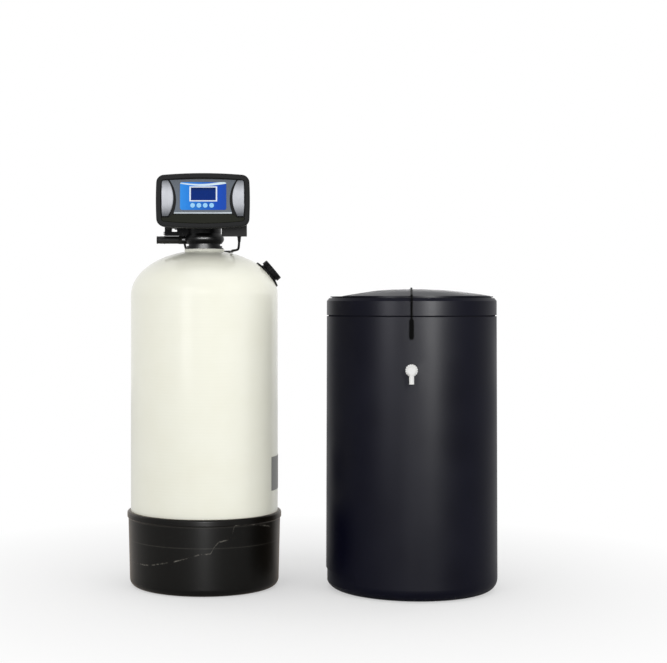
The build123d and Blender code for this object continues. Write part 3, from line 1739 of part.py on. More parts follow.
# Overflow elbow and its nut
def overflow_elbow():
    """White elbow: gripped flange, short barrel, spigot down and a threaded shank through the wall."""
    start = bond_gap + gasket_thickness + bond_gap
    flange_end = start + overflow_flange_thickness
    body = rod(overflow_flange_radius, start, flange_end)
    grip = rod(overflow_grip_radius, start - overrun, flange_end + overrun)
    grip = Pos(overflow_flange_radius, 0, 0) * grip
    body -= ring_of(grip, overflow_grip_count)
    body += rod(overflow_body_radius, start, start + overflow_body_reach)
    body += rod(overflow_shank_radius, -overflow_shank_length, start)
    middle = start + overflow_body_reach - overflow_spigot_radius - overflow_spigot_wall
    down = Plane(origin=(0, 0, middle), x_dir=(1, 0, 0), z_dir=(0, -1, 0)).location
    body += down * rod(overflow_spigot_radius, 0, overflow_spigot_drop)
    body += down * rod(overflow_collar_radius, 0, overflow_body_radius + overflow_collar_proud)
    body -= rod(overflow_bore_radius, -overflow_shank_length - overrun, middle)
    body -= down * rod(overflow_bore_radius, 0, overflow_spigot_drop + overrun)
    return overflow_place * body


def overflow_nut():
    """Nut on the shank inside the tank."""
    back = -brine_wall - nut_wall_gap
    nut = Pos(0, 0, back - overflow_nut_thickness) * extrude(
        RegularPolygon(overflow_nut_radius, 6), overflow_nut_thickness
    )
    return overflow_place * (nut - rod(overflow_shank_radius + bond_gap, back - overflow_nut_thickness, back))


# Brine well and what it holds
bar_base = valve_block_base + valve_block_height / 2


def brine_well():
    """Upright tube with slots at the foot and two windows for the float valve's bar."""
    base = brine_wall + seat_gap
    body = tube(well_radius, well_radius - well_wall, base, well_top)
    slot = Pos(well_radius, 0, well_slot_base) * Box(
        4 * well_wall, well_slot_width, well_slot_height, align=upright
    )
    body -= ring_of(slot, well_slots, 180 / well_slots)
    window = Pos(0, 0, bar_base - bar_fit) * Box(
        2 * well_radius + overrun, bar_width + 2 * bar_fit, bar_height + 2 * bar_fit, align=upright
    )
    return well_place * (body - window)


def well_cap():
    """Cap over the well with a low grip bar."""
    under = well_top + seat_gap
    top = under + well_cap_thickness
    body = rod(well_cap_radius, well_top - well_cap_skirt, top)
    body -= rod(well_radius + seat_gap, well_top - well_cap_skirt - overrun, under)
    grip = Pos(0, 0, top) * Box(well_grip_length, well_grip_width, well_grip_height, align=upright)
    body += fillet(grip.edges().filter_by(Axis.Z), well_grip_width / 3)
    return well_place * body


def float_valve():
    """Safety float valve: block on a cross bar, a socket for the pickup tube and a line nut on top."""
    top = valve_block_base + valve_block_height
    half = valve_block_depth / 2
    body = block(valve_block_left, valve_block_right, half, -half, valve_block_base, top)
    body = fillet(body.edges().filter_by(Axis.Z), half / 3)
    bar = Box(2 * well_radius - well_wall, bar_width, bar_height, align=upright)
    body += Pos(0, 0, bar_base) * bar
    nut = extrude(RegularPolygon(outlet_nut_radius, 6), outlet_nut_height)
    body += Pos(pickup_offset, 0, top) * nut
    line_top = top + outlet_nut_height + overrun
    body -= Pos(pickup_offset, 0, 0) * rod(pickup_bore_radius, valve_block_base, line_top)
    body -= Pos(pickup_offset, 0, 0) * rod(pickup_radius + pickup_fit, top, line_top)
    socket = rod(pickup_radius + pickup_fit, valve_block_base - overrun, valve_block_base + pickup_socket)
    body -= Pos(pickup_offset, 0, 0) * socket
    rod_way = rod(rod_radius + rod_bore_gap, valve_block_base - overrun, top + overrun)
    body -= Pos(float_offset, 0, 0) * rod_way
    return well_place * body


def pickup_tube():
    place = well_place * Pos(pickup_offset, 0, 0)
    return place * tube(pickup_radius, pickup_bore_radius, pickup_base, valve_block_base + pickup_socket)


check_base = brine_wall + seat_gap


def check_cage():
    """Air check cage on the tank's floor, with side windows and a seat under the ball."""
    top = check_base + check_height
    body = turned([
        (0, check_base),
        (cage_radius, check_base),
        (cage_radius, top - cage_radius / 2),
        (pickup_radius + pickup_fit + check_wall, top),
        (0, top),
    ])
    inside = cage_radius - check_wall
    body -= rod(inside, check_base + 2 * check_wall, pickup_base - check_wall)
    body -= rod(check_seat_radius, check_base - overrun, pickup_base)
    body -= rod(pickup_radius + pickup_fit, pickup_base, top + overrun)
    window = Pos(cage_radius, 0, check_base + 3 * check_wall) * Box(
        4 * check_wall, check_window_width, check_window_height, align=upright
    )
    body -= ring_of(window, check_window_count)
    foot_way = Box(2 * cage_radius + overrun, check_wall, check_wall)
    body -= [Pos(0, 0, check_base) * foot_way, Pos(0, 0, check_base) * Rot(0, 0, quarter_turn) * foot_way]
    return well_place * Pos(pickup_offset, 0, 0) * body


ball_seat = check_base + 2 * check_wall
ball_height = ball_seat + sqrt(ball_radius ** 2 - check_seat_radius ** 2) + seat_gap


def check_ball():
    return well_place * Pos(pickup_offset, 0, ball_height) * Sphere(ball_radius)


def brine_float():
    """Float on its rod, with a stop that rests on the valve block and a stop below it."""
    top_stop = valve_block_base + valve_block_height + seat_gap
    low_stop = valve_block_base - float_travel - seat_gap - rod_stop_height
    body = turned([
        (0, float_base),
        (float_radius, float_base, float_round),
        (float_radius, float_base + float_height, float_round),
        (0, float_base + float_height),
    ])
    body += rod(rod_radius, float_base, top_stop + 2 * rod_stop_height)
    body += rod(rod_stop_radius, top_stop, top_stop + rod_stop_height)
    body += rod(rod_stop_radius, low_stop, low_stop + rod_stop_height)
    return well_place * Pos(float_offset, 0, 0) * body


def grid_holes():
    """Drain holes of the salt grid, kept clear of the well and of the legs."""
    holes = []
    legs = [Vector(grid_leg_circle, 0).rotate(Axis.Z, grid_leg_turn + 360 * leg / grid_leg_count)
            for leg in range(grid_leg_count)]
    well = Vector(well_offset_x, well_offset_y)
    clear = grid_hole_radius + grid_hole_margin
    for share, count in zip(grid_ring_radii_shares, grid_ring_counts):
        for step in range(count):
            place = Vector(share * brine_top_radius, 0).rotate(Axis.Z, 360 * step / count)
            near_well = (place - well).length < well_radius + clear
            near_leg = any((place - leg).length < grid_leg_radius + clear for leg in legs)
            if not near_well and not near_leg:
                hole = Cylinder(grid_hole_radius, 4 * grid_thickness)
                holes.append(Pos(place.X, place.Y, grid_height) * hole)
    return holes


def salt_grid():
    """Round grid on tube legs that keeps the salt above the brine."""
    top = grid_height + grid_thickness
    plate = rod(brine_radius(grid_height) - brine_wall - grid_fit, grid_height, top)
    leg = tube(grid_leg_radius, grid_leg_radius - grid_leg_wall, brine_wall + seat_gap, grid_height)
    plate += ring_of(Pos(grid_leg_circle, 0, 0) * leg, grid_leg_count, grid_leg_turn)
    plate -= grid_holes()
    well_way = rod(well_radius + seat_gap, grid_height - overrun, top + overrun)
    plate -= Pos(well_offset_x, well_offset_y, 0) * well_way
    return brine_place * plate


def build_parts():
    parts = {
        "tank_shell": tank_shell(),
        "tank_liner": tank_liner(),
        "neck_insert": neck_insert(),
        "tank_boot": tank_boot(),
        "data_plate": data_plate(),
        "fill_port_saddle": fill_port_saddle(),
        "fill_port_cap": fill_port_cap(),
        "gravel_bed": gravel_bed(),
        "resin_bed": resin_bed(),
        "lower_distributor": lower_distributor(),
        "riser_tube": riser_tube(),
        "upper_strainer": upper_strainer(),
        "seal_rings": seal_rings(),
        "valve_body": valve_body(),
        "fixed_disc": fixed_disc(),
        "moving_disc": moving_disc(),
        "disc_carrier": disc_carrier(),
        "valve_bonnet": valve_bonnet(),
        "drive_gear": drive_gear(),
        "motor_pinion": motor_pinion(),
        "gear_motor": gear_motor(),
        "gearbox_plate": gearbox_plate(),
        "valve_screws": valve_screws(),
        "injector_block": injector_block(),
        "injector_nozzle": injector_nozzle(),
        "connector_nut": connector_nut(),
        "drain_stub": drain_stub(),
        "turbine_cage": turbine_cage(),
        "flow_turbine": flow_turbine(),
        "flow_sensor": flow_sensor(),
        "cable_gland": cable_gland(),
        "sensor_lead": sensor_lead(),
        "head_front_frame": head_front_frame(),
        "head_back_cover": head_back_cover(),
        "head_screws": head_screws(),
        "fascia_panel": fascia_panel(),
        "side_wings": side_wings(),
        "bright_strip": bright_strip(),
        "lower_trim": lower_trim(),
        "label_panel": label_panel(),
        "display_window": display_window(),
        "display_module": display_module(),
        "control_board": control_board(),
        "brine_tank": brine_tank(),
        "brine_lid": brine_lid(),
        "lid_strap": lid_strap(),
        "overflow_elbow": overflow_elbow(),
        "overflow_nut": overflow_nut(),
        "brine_well": brine_well(),
        "well_cap": well_cap(),
        "float_valve": float_valve(),
        "pickup_tube": pickup_tube(),
        "check_cage": check_cage(),
        "check_ball": check_ball(),
        "brine_float": brine_float(),
        "salt_grid": salt_grid(),
    }
    for index, place in enumerate(button_places()):
        parts[f"button_{index + 1}"] = button(place)
    return parts


os.makedirs("parts", exist_ok=True)
for name, shape in build_parts().items():
    if isinstance(shape, list):
        shape = Compound(children=[solid for piece in shape for solid in piece.solids()])
    export_step(shape, f"parts/{name}.step")
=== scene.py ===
import json
import math

import bpy
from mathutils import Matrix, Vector


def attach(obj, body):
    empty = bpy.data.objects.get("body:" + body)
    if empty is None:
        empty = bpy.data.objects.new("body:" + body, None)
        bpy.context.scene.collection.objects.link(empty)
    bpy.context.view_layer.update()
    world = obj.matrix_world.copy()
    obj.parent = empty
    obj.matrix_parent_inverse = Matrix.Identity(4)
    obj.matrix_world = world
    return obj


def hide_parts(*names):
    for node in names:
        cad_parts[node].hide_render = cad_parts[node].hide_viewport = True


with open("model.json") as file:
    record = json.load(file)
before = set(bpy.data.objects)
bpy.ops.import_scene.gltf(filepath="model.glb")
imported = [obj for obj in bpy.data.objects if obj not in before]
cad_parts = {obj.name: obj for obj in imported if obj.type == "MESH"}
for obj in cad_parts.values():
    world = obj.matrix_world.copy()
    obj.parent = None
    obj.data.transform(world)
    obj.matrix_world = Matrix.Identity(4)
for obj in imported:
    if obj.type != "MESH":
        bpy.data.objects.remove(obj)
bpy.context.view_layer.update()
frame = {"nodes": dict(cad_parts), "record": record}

nodes = frame["nodes"]

# Real sizes that the finishes and the added pieces need, in metres
MM = 0.001
VESSEL_RADIUS = 151 * MM
DOME_FOOT = 590 * MM
BOOT_HEIGHT = 153 * MM
BOOT_PARTING = 97 * MM
BOOT_LIP_FOOT = 138 * MM
HEAD_MIDDLE = 781.6 * MM
LABEL_MIDDLE = (0.65 * MM, 790.7 * MM)
LABEL_HALF = (46 * MM, 27.6 * MM)
BEZEL_MIDDLE = (0.9 * MM, 794.9 * MM)
BEZEL_HALF = (27.6 * MM, 14.9 * MM)
LID_SEAM = 552.4 * MM
LEAD_DIAMETER = 4.8 * MM

# The lead's route, in millimetres: from the gland, round the back of the neck and up into the
# sensor
LEAD_ROUTE = (
    (72.0, -55.0, 717.62), (72.0, -55.0, 689.07), (67.09, -45.24, 685.07), (55.63, -22.48, 685.07),
    (59.42, 8.35, 683.67), (47.28, 36.94, 685.07), (22.48, 55.63, 683.67), (-8.35, 59.42, 685.07),
    (-31.8, 50.88, 683.67), (-45.0, 43.0, 695.07), (-45.0, 43.0, 751.82),
)
GLAND_FOOT = (72.0, -55.0, 711.8)
SENSOR_FOOT = (-45.0, 43.0, 746.2)

# Sockets that share a name with others, by their place: Map Range's ends, and a colour Mix's ins
# and out
FROM_LOW, FROM_HIGH, TO_LOW, TO_HIGH = 1, 2, 3, 4
FIRST, SECOND, MIXED = 6, 7, 2


def linear(colour):
    """An sRGB hex colour as linear red, green and blue, with full alpha."""
    shares = [int(colour[i:i + 2], 16) / 255 for i in (1, 3, 5)]
    return tuple(s / 12.92 if s <= 0.04045 else ((s + 0.055) / 1.055) ** 2.4
                 for s in shares) + (1.0,)


def repeats(size):
    """A pattern's scale on object coordinates, from its real size in millimetres."""
    return 1 / (size * MM)


def add(tree, kind, sockets=None, stops=None, **settings):
    """Adds a node with its settings. sockets gives each input, by name or place, a value or an
    output to link. stops gives a colour ramp its positions and linear colours, in rising order."""
    node = tree.nodes.new(kind)
    for name, value in settings.items():
        setattr(node, name, value)
    for key, value in (sockets or {}).items():
        if isinstance(value, bpy.types.NodeSocket):
            tree.links.new(value, node.inputs[key])
        else:
            node.inputs[key].default_value = value
    if stops:
        row = node.color_ramp.elements
        row[0].position, row[0].color = stops[0]
        row[1].position, row[1].color = stops[-1]
        for position, colour in stops[1:-1]:
            row.new(position).color = colour
    return node


def away_from(tree, value, level):
    """How far a value lies from a level, to either side of it."""
    off = add(tree, "ShaderNodeMath", {0: value, 1: level}, operation="SUBTRACT")
    return add(tree, "ShaderNodeMath", {0: off.outputs[0]}, operation="ABSOLUTE").outputs[0]


def blank(name):
    """A new material, its empty node tree and the object coordinates in metres."""
    material = bpy.data.materials.new(name)
    material.use_nodes = True
    tree = material.node_tree
    tree.nodes.clear()
    return material, tree, add(tree, "ShaderNodeTexCoord").outputs["Object"]


def surface(material, sockets):
    """Gives a material its shader, with these values and links, and returns the material."""
    shader = add(material.node_tree, "ShaderNodeBsdfPrincipled", sockets)
    add(material.node_tree, "ShaderNodeOutputMaterial", {"Surface": shader.outputs["BSDF"]})
    return material


def moulded(name, colour, light_colour, roughness, grain, depth, level=0.5):
    """Moulded plastic, rubber or ceramic: a fine grain from the mould, cloudy gloss and a slight
    change of colour. grain is the width of the grain and depth its height, in millimetres."""
    material, tree, place = blank(name)
    # clouds 38 mm across, from uneven cooling
    cloud = add(tree, "ShaderNodeTexNoise", {"Vector": place, "Scale": repeats(38), "Detail": 3.0})
    tone = add(tree, "ShaderNodeMix", {"Factor": cloud.outputs["Fac"], FIRST: linear(colour),
                                       SECOND: linear(light_colour)}, data_type="RGBA")
    gloss = add(tree, "ShaderNodeMapRange",
                {"Value": cloud.outputs["Fac"], FROM_LOW: 0.3, FROM_HIGH: 0.7,
                 TO_LOW: roughness - 0.04, TO_HIGH: roughness + 0.05})
    pits = add(tree, "ShaderNodeTexNoise",
               {"Vector": place, "Scale": repeats(grain), "Detail": 2.0})
    bump = add(tree, "ShaderNodeBump", {"Height": pits.outputs["Fac"], "Strength": 0.6,
                                        "Distance": depth * MM})
    return surface(material, {"Base Color": tone.outputs[MIXED], "Roughness": gloss.outputs[0],
                              "Normal": bump.outputs["Normal"], "IOR": 1.5,
                              "Specular IOR Level": level})


def drawn_metal(name, colour, roughness, along, streak, metallic=1.0):
    """Metal with fine straight lines along one axis, from rolling, drawing or turning. streak is
    the width of a line in millimetres."""
    material, tree, place = blank(name)
    stretch = [1.0, 1.0, 1.0]
    stretch["XYZ".index(along)] = 0.02
    lined = add(tree, "ShaderNodeMapping", {"Vector": place, "Scale": stretch})
    lines = add(tree, "ShaderNodeTexNoise", {"Vector": lined.outputs[0], "Scale": repeats(streak),
                                             "Detail": 4.0})
    gloss = add(tree, "ShaderNodeMapRange",
                {"Value": lines.outputs["Fac"], FROM_LOW: 0.25, FROM_HIGH: 0.75,
                 TO_LOW: roughness - 0.08, TO_HIGH: roughness + 0.1})
    bump = add(tree, "ShaderNodeBump", {"Height": lines.outputs["Fac"], "Strength": 0.5,
                                        "Distance": 0.05 * MM})
    return surface(material, {"Base Color": linear(colour), "Metallic": metallic,
                              "Roughness": gloss.outputs[0], "Normal": bump.outputs["Normal"]})


def grit(name, colours, size, roughness):
    """Loose grains in one bed, size millimetres across: rounded cells of slightly different
    colours."""
    material, tree, place = blank(name)
    cells = add(tree, "ShaderNodeTexVoronoi", {"Vector": place, "Scale": repeats(size)})
    pick = add(tree, "ShaderNodeSeparateColor", {"Color": cells.outputs["Color"]})
    tone = add(tree, "ShaderNodeMix", {"Factor": pick.outputs[0], FIRST: linear(colours[0]),
                                       SECOND: linear(colours[1])}, data_type="RGBA")
    bump = add(tree, "ShaderNodeBump", {"Height": cells.outputs["Distance"], "Strength": 0.8,
                                        "Distance": size / 3 * MM}, invert=True)
    return surface(material, {"Base Color": tone.outputs[MIXED], "Roughness": roughness,
                              "Normal": bump.outputs["Normal"], "IOR": 1.5})


def fibreglass_wound():
    """Glass fibre wound in epoxy and painted ivory: level ridges of the hoop winding over the
    whole shell, crossing bands on the dome, and a thin clear coat that shines softly over both."""
    material, tree, place = blank("fibreglass_wound_ivory")
    parts = add(tree, "ShaderNodeSeparateXYZ", {"Vector": place})
    turn = add(tree, "ShaderNodeMath", {0: parts.outputs["Y"], 1: parts.outputs["X"]},
               operation="ARCTAN2")
    round_way = add(tree, "ShaderNodeMath", {0: turn.outputs[0], 1: VESSEL_RADIUS},
                    operation="MULTIPLY")
    flat = add(tree, "ShaderNodeCombineXYZ", {"X": round_way.outputs[0], "Y": parts.outputs["Z"]})
    # rovings 6.5 mm wide: a ridge along each band, which wanders by up to 5 mm
    roving, drift = 6.5 * MM, 5 * MM
    wander = add(tree, "ShaderNodeTexNoise", {"Vector": place, "Scale": repeats(60), "Detail": 2.0})
    level = add(tree, "ShaderNodeMath", {0: wander.outputs["Fac"], 1: drift, 2: parts.outputs["Z"]},
                operation="MULTIPLY_ADD")
    bands = add(tree, "ShaderNodeMath", {0: level.outputs[0], 1: 2 * math.pi / roving},
                operation="MULTIPLY")
    hoop = add(tree, "ShaderNodeMath", {0: bands.outputs[0]}, operation="SINE")
    # strands within a roving are finer than 0.1 mm, drawn 2.2 mm wide so that they show
    strand_place = add(tree, "ShaderNodeMapping",
                       {"Vector": flat.outputs[0], "Scale": (0.05, 1.0, 1.0)})
    strands = add(tree, "ShaderNodeTexNoise",
                  {"Vector": strand_place.outputs[0], "Scale": repeats(2.2), "Detail": 3.0})
    ridges = add(tree, "ShaderNodeMath", {0: hoop.outputs[0], 1: 0.3, 2: strands.outputs["Fac"]},
                 operation="MULTIPLY_ADD")
    # helical bands cross at a slope over the dome only
    slope = add(tree, "ShaderNodeMapping",
                {"Vector": flat.outputs[0], "Rotation": (0, 0, math.radians(38)),
                 "Scale": (1.0, 0.06, 1.0)})
    crossing = add(tree, "ShaderNodeTexNoise", {"Vector": slope.outputs[0], "Scale": repeats(9),
                                                "Detail": 2.0})
    dome = add(tree, "ShaderNodeMapRange", {"Value": parts.outputs["Z"], FROM_LOW: DOME_FOOT,
                                            FROM_HIGH: DOME_FOOT + 50 * MM})
    relief = add(tree, "ShaderNodeMath", {0: crossing.outputs["Fac"], 1: dome.outputs[0],
                                          2: ridges.outputs[0]}, operation="MULTIPLY_ADD")
    bump = add(tree, "ShaderNodeBump",
               {"Height": relief.outputs[0], "Strength": 0.5, "Distance": 0.12 * MM})
    mottle = add(tree, "ShaderNodeMix", {"Factor": wander.outputs["Fac"], FIRST: linear("#EEEEE1"),
                                         SECOND: linear("#E9E8D8")}, data_type="RGBA")
    return surface(material, {"Base Color": mottle.outputs[MIXED], "Normal": bump.outputs["Normal"],
                              "Roughness": 0.3, "IOR": 1.5, "Coat Weight": 0.35,
                              "Coat Roughness": 0.12})


def boot_polyethylene():
    """Polyethylene, blow moulded: satin black with a dusty brown sheen at its edges, the mould's
    parting line, and a pale scuff that climbs round the front."""
    material, tree, place = blank("polyethylene_blow_moulded_boot")
    parts = add(tree, "ShaderNodeSeparateXYZ", {"Vector": place})
    ahead = add(tree, "ShaderNodeMath", {0: parts.outputs["Y"], 1: -1.0}, operation="MULTIPLY")
    turn = add(tree, "ShaderNodeMath", {0: parts.outputs["X"], 1: ahead.outputs[0]},
               operation="ARCTAN2")
    # share goes from 0 at the left side over the front to 1 at the right side
    share = add(tree, "ShaderNodeMapRange", {"Value": turn.outputs[0], FROM_LOW: -math.pi / 2,
                                             FROM_HIGH: math.pi / 2})
    # the scuff's height in millimetres at degrees from the front, drawn as listed points
    scuff_way = ((-66, 53), (-55, 53.5), (-42, 56), (-30, 63), (-16, 72), (-2, 84), (6, 85),
                 (8.5, 97), (12, 108), (20, 112), (22, 121), (24, 139), (34, 139), (46, 136),
                 (60, 128))
    stops = [((degrees + 90) / 180, (height * MM / BOOT_HEIGHT,) * 3 + (1.0,))
             for degrees, height in scuff_way]
    curve = add(tree, "ShaderNodeValToRGB", {"Fac": share.outputs[0]}, stops)
    height = add(tree, "ShaderNodeMath", {0: curve.outputs["Color"], 1: BOOT_HEIGHT},
                 operation="MULTIPLY")
    jitter = add(tree, "ShaderNodeTexNoise", {"Vector": place, "Scale": repeats(7), "Detail": 3.0})
    middle = add(tree, "ShaderNodeMath",
                 {0: jitter.outputs["Fac"], 1: 3 * MM, 2: height.outputs[0]},
                 operation="MULTIPLY_ADD")
    line = add(tree, "ShaderNodeMapRange", {
        "Value": away_from(tree, parts.outputs["Z"], middle.outputs[0]), FROM_LOW: 1.7 * MM,
        FROM_HIGH: 0.3 * MM})
    patches = add(tree, "ShaderNodeTexNoise", {"Vector": place, "Scale": repeats(16), "Detail": 5.0,
                                               "Roughness": 0.7})
    broken = add(tree, "ShaderNodeMapRange", {"Value": patches.outputs["Fac"], FROM_LOW: 0.46,
                                              FROM_HIGH: 0.74, TO_HIGH: 0.75})
    scuff = add(tree, "ShaderNodeMath", {0: line.outputs[0], 1: broken.outputs[0]},
                operation="MULTIPLY")
    # it fades out before the sides
    left_end = add(tree, "ShaderNodeMapRange",
                   {"Value": share.outputs[0], FROM_LOW: 0.1, FROM_HIGH: 0.16})
    right_end = add(tree, "ShaderNodeMapRange",
                    {"Value": share.outputs[0], FROM_LOW: 0.86, FROM_HIGH: 0.8})
    for end in (left_end, right_end):
        scuff = add(tree, "ShaderNodeMath", {0: scuff.outputs[0], 1: end.outputs[0]},
                    operation="MULTIPLY")
    # the mould's parting line and the faint line under the lip
    seam = add(tree, "ShaderNodeMapRange", {
        "Value": away_from(tree, parts.outputs["Z"], BOOT_PARTING), FROM_LOW: 1.5 * MM,
        FROM_HIGH: 0.3 * MM, TO_HIGH: 0.12})
    lip = add(tree, "ShaderNodeMapRange", {
        "Value": away_from(tree, parts.outputs["Z"], BOOT_LIP_FOOT), FROM_LOW: 2.0 * MM,
        FROM_HIGH: 0.3 * MM, TO_HIGH: 0.09})
    lines = add(tree, "ShaderNodeMath", {0: seam.outputs[0], 1: lip.outputs[0]},
                operation="MAXIMUM")
    faded = add(tree, "ShaderNodeMath", {0: lines.outputs[0], 1: patches.outputs["Fac"]},
                operation="MULTIPLY")
    rubbed = add(tree, "ShaderNodeMath", {0: scuff.outputs[0], 1: faded.outputs[0]},
                 operation="MAXIMUM")
    tone = add(tree, "ShaderNodeMix", {"Factor": rubbed.outputs[0], FIRST: linear("#0B0A08"),
                                       SECOND: linear("#9A968C")}, data_type="RGBA")
    gloss = add(tree, "ShaderNodeMapRange",
                {"Value": rubbed.outputs[0], TO_LOW: 0.33, TO_HIGH: 0.75})
    skin = add(tree, "ShaderNodeTexNoise", {"Vector": place, "Scale": repeats(5), "Detail": 3.0})
    relief = add(tree, "ShaderNodeMath", {0: seam.outputs[0], 1: skin.outputs["Fac"]},
                 operation="ADD")
    bump = add(tree, "ShaderNodeBump",
               {"Height": relief.outputs[0], "Strength": 0.4, "Distance": 0.12 * MM})
    return surface(material, {"Base Color": tone.outputs[MIXED], "Roughness": gloss.outputs[0],
                              "Normal": bump.outputs["Normal"], "IOR": 1.5,
                              "Specular IOR Level": 0.14, "Sheen Weight": 0.3,
                              "Sheen Roughness": 0.3, "Sheen Tint": linear("#C4A070")})


def tank_polyethylene(name, roughness):
    """Polyethylene, rotation moulded: blue black, with a soft orange peel that blurs what it
    mirrors."""
    material, tree, place = blank(name)
    peel = add(tree, "ShaderNodeTexNoise", {"Vector": place, "Scale": repeats(9), "Detail": 2.0})
    wave = add(tree, "ShaderNodeTexNoise", {"Vector": place, "Scale": repeats(110), "Detail": 1.0})
    tone = add(tree, "ShaderNodeMix", {"Factor": wave.outputs["Fac"], FIRST: linear("#020210"),
                                       SECOND: linear("#050618")}, data_type="RGBA")
    gloss = add(tree, "ShaderNodeMapRange",
                {"Value": wave.outputs["Fac"], FROM_LOW: 0.3, FROM_HIGH: 0.7,
                 TO_LOW: roughness - 0.03, TO_HIGH: roughness + 0.04})
    # the narrow step under the lid's skirt is unpolished, so it shows as a dark line
    rise = add(tree, "ShaderNodeSeparateXYZ", {"Vector": place})
    unpolished = add(tree, "ShaderNodeMapRange", {
        "Value": away_from(tree, rise.outputs["Z"], LID_SEAM), FROM_LOW: 1.7 * MM,
        FROM_HIGH: 1.3 * MM})
    blur = add(tree, "ShaderNodeMath", {0: gloss.outputs[0], 1: unpolished.outputs[0]},
               operation="MAXIMUM")
    relief = add(tree, "ShaderNodeMath", {0: wave.outputs["Fac"], 1: 4.0, 2: peel.outputs["Fac"]},
                 operation="MULTIPLY_ADD")
    bump = add(tree, "ShaderNodeBump", {"Height": relief.outputs[0], "Strength": 0.35,
                                        "Distance": 0.12 * MM})
    return surface(material, {"Base Color": tone.outputs[MIXED], "Roughness": blur.outputs[0],
                              "Normal": bump.outputs["Normal"], "IOR": 1.5,
                              "Specular IOR Level": 0.075})


def silver_wings():
    """Silver paint, brushed upright over a crowned moulding: fine lines, and painted shade at the
    crown's ends.
    """
    material, tree, place = blank("silver_paint_brushed_upright")
    crown_middle, crown_half = HEAD_MIDDLE + 6 * MM, 36 * MM
    parts = add(tree, "ShaderNodeSeparateXYZ", {"Vector": place})
    lined = add(tree, "ShaderNodeMapping", {"Vector": place, "Scale": (1.0, 1.0, 0.03)})
    # real brushing is about 0.1 mm wide, drawn 0.7 mm wide so that it shows
    lines = add(tree, "ShaderNodeTexNoise", {"Vector": lined.outputs[0], "Scale": repeats(0.7),
                                             "Detail": 3.0})
    tone = add(tree, "ShaderNodeMix", {"Factor": lines.outputs["Fac"], FIRST: linear("#A0A2A8"),
                                       SECOND: linear("#C2C4C9")}, data_type="RGBA")
    rise = add(tree, "ShaderNodeMath", {0: parts.outputs["Z"], 1: crown_middle},
               operation="SUBTRACT")
    share = add(tree, "ShaderNodeMath", {0: rise.outputs[0], 1: crown_half}, operation="DIVIDE")
    crown = add(tree, "ShaderNodeMath", {0: share.outputs[0], 1: 2.0}, operation="POWER")
    # painted shade: the paint is drawn darker where the crown falls away to its ends
    shaded = add(tree, "ShaderNodeMapRange",
                 {"Value": crown.outputs[0], FROM_LOW: 0.1, FROM_HIGH: 0.85, TO_HIGH: 0.9})
    crown_painted_shade = add(tree, "ShaderNodeMix", {"Factor": shaded.outputs[0], FIRST: tone.outputs[MIXED],
                                       SECOND: linear("#5E6166")}, data_type="RGBA")
    # the crown's ends lie 30 line heights lower than its middle
    belly = add(tree, "ShaderNodeMath", {0: crown.outputs[0], 1: -30.0, 2: lines.outputs["Fac"]},
                operation="MULTIPLY_ADD")
    bump = add(tree, "ShaderNodeBump",
               {"Height": belly.outputs[0], "Strength": 1.0, "Distance": 0.1 * MM})
    return surface(material,
                   {"Base Color": crown_painted_shade.outputs[MIXED], "Metallic": 0.85, "Roughness": 0.36,
                    "Normal": bump.outputs["Normal"]})


def fascia_paint():
    """Metallic grey paint, sprayed on a smooth moulding: a fine sparkle of flakes under a clear
    coat."""
    material, tree, place = blank("metallic_paint_sprayed_grey")
    # real flakes are 0.05 mm, drawn 0.5 mm wide so that they show
    flakes = add(tree, "ShaderNodeTexVoronoi", {"Vector": place, "Scale": repeats(0.5)})
    rise = add(tree, "ShaderNodeSeparateXYZ", {"Vector": place})
    # painted shade: the paint is drawn darker towards the panel's top
    top = add(tree, "ShaderNodeMapRange",
              {"Value": rise.outputs["Z"], FROM_LOW: HEAD_MIDDLE - 10 * MM,
               FROM_HIGH: HEAD_MIDDLE + 42 * MM})
    ground = add(tree, "ShaderNodeMix", {"Factor": top.outputs[0], FIRST: linear("#525A64"),
                                         SECOND: linear("#323840")}, data_type="RGBA")
    tone = add(tree, "ShaderNodeMix",
               {"Factor": flakes.outputs["Distance"], FIRST: ground.outputs[MIXED],
                SECOND: linear("#5C646E")}, data_type="RGBA")
    bump = add(tree, "ShaderNodeBump", {"Height": flakes.outputs["Distance"], "Strength": 0.15,
                                        "Distance": 0.02 * MM})
    return surface(material,
                   {"Base Color": tone.outputs[MIXED], "Metallic": 0.45, "Roughness": 0.42,
                    "Normal": bump.outputs["Normal"], "Coat Weight": 0.3, "Coat Roughness": 0.15})


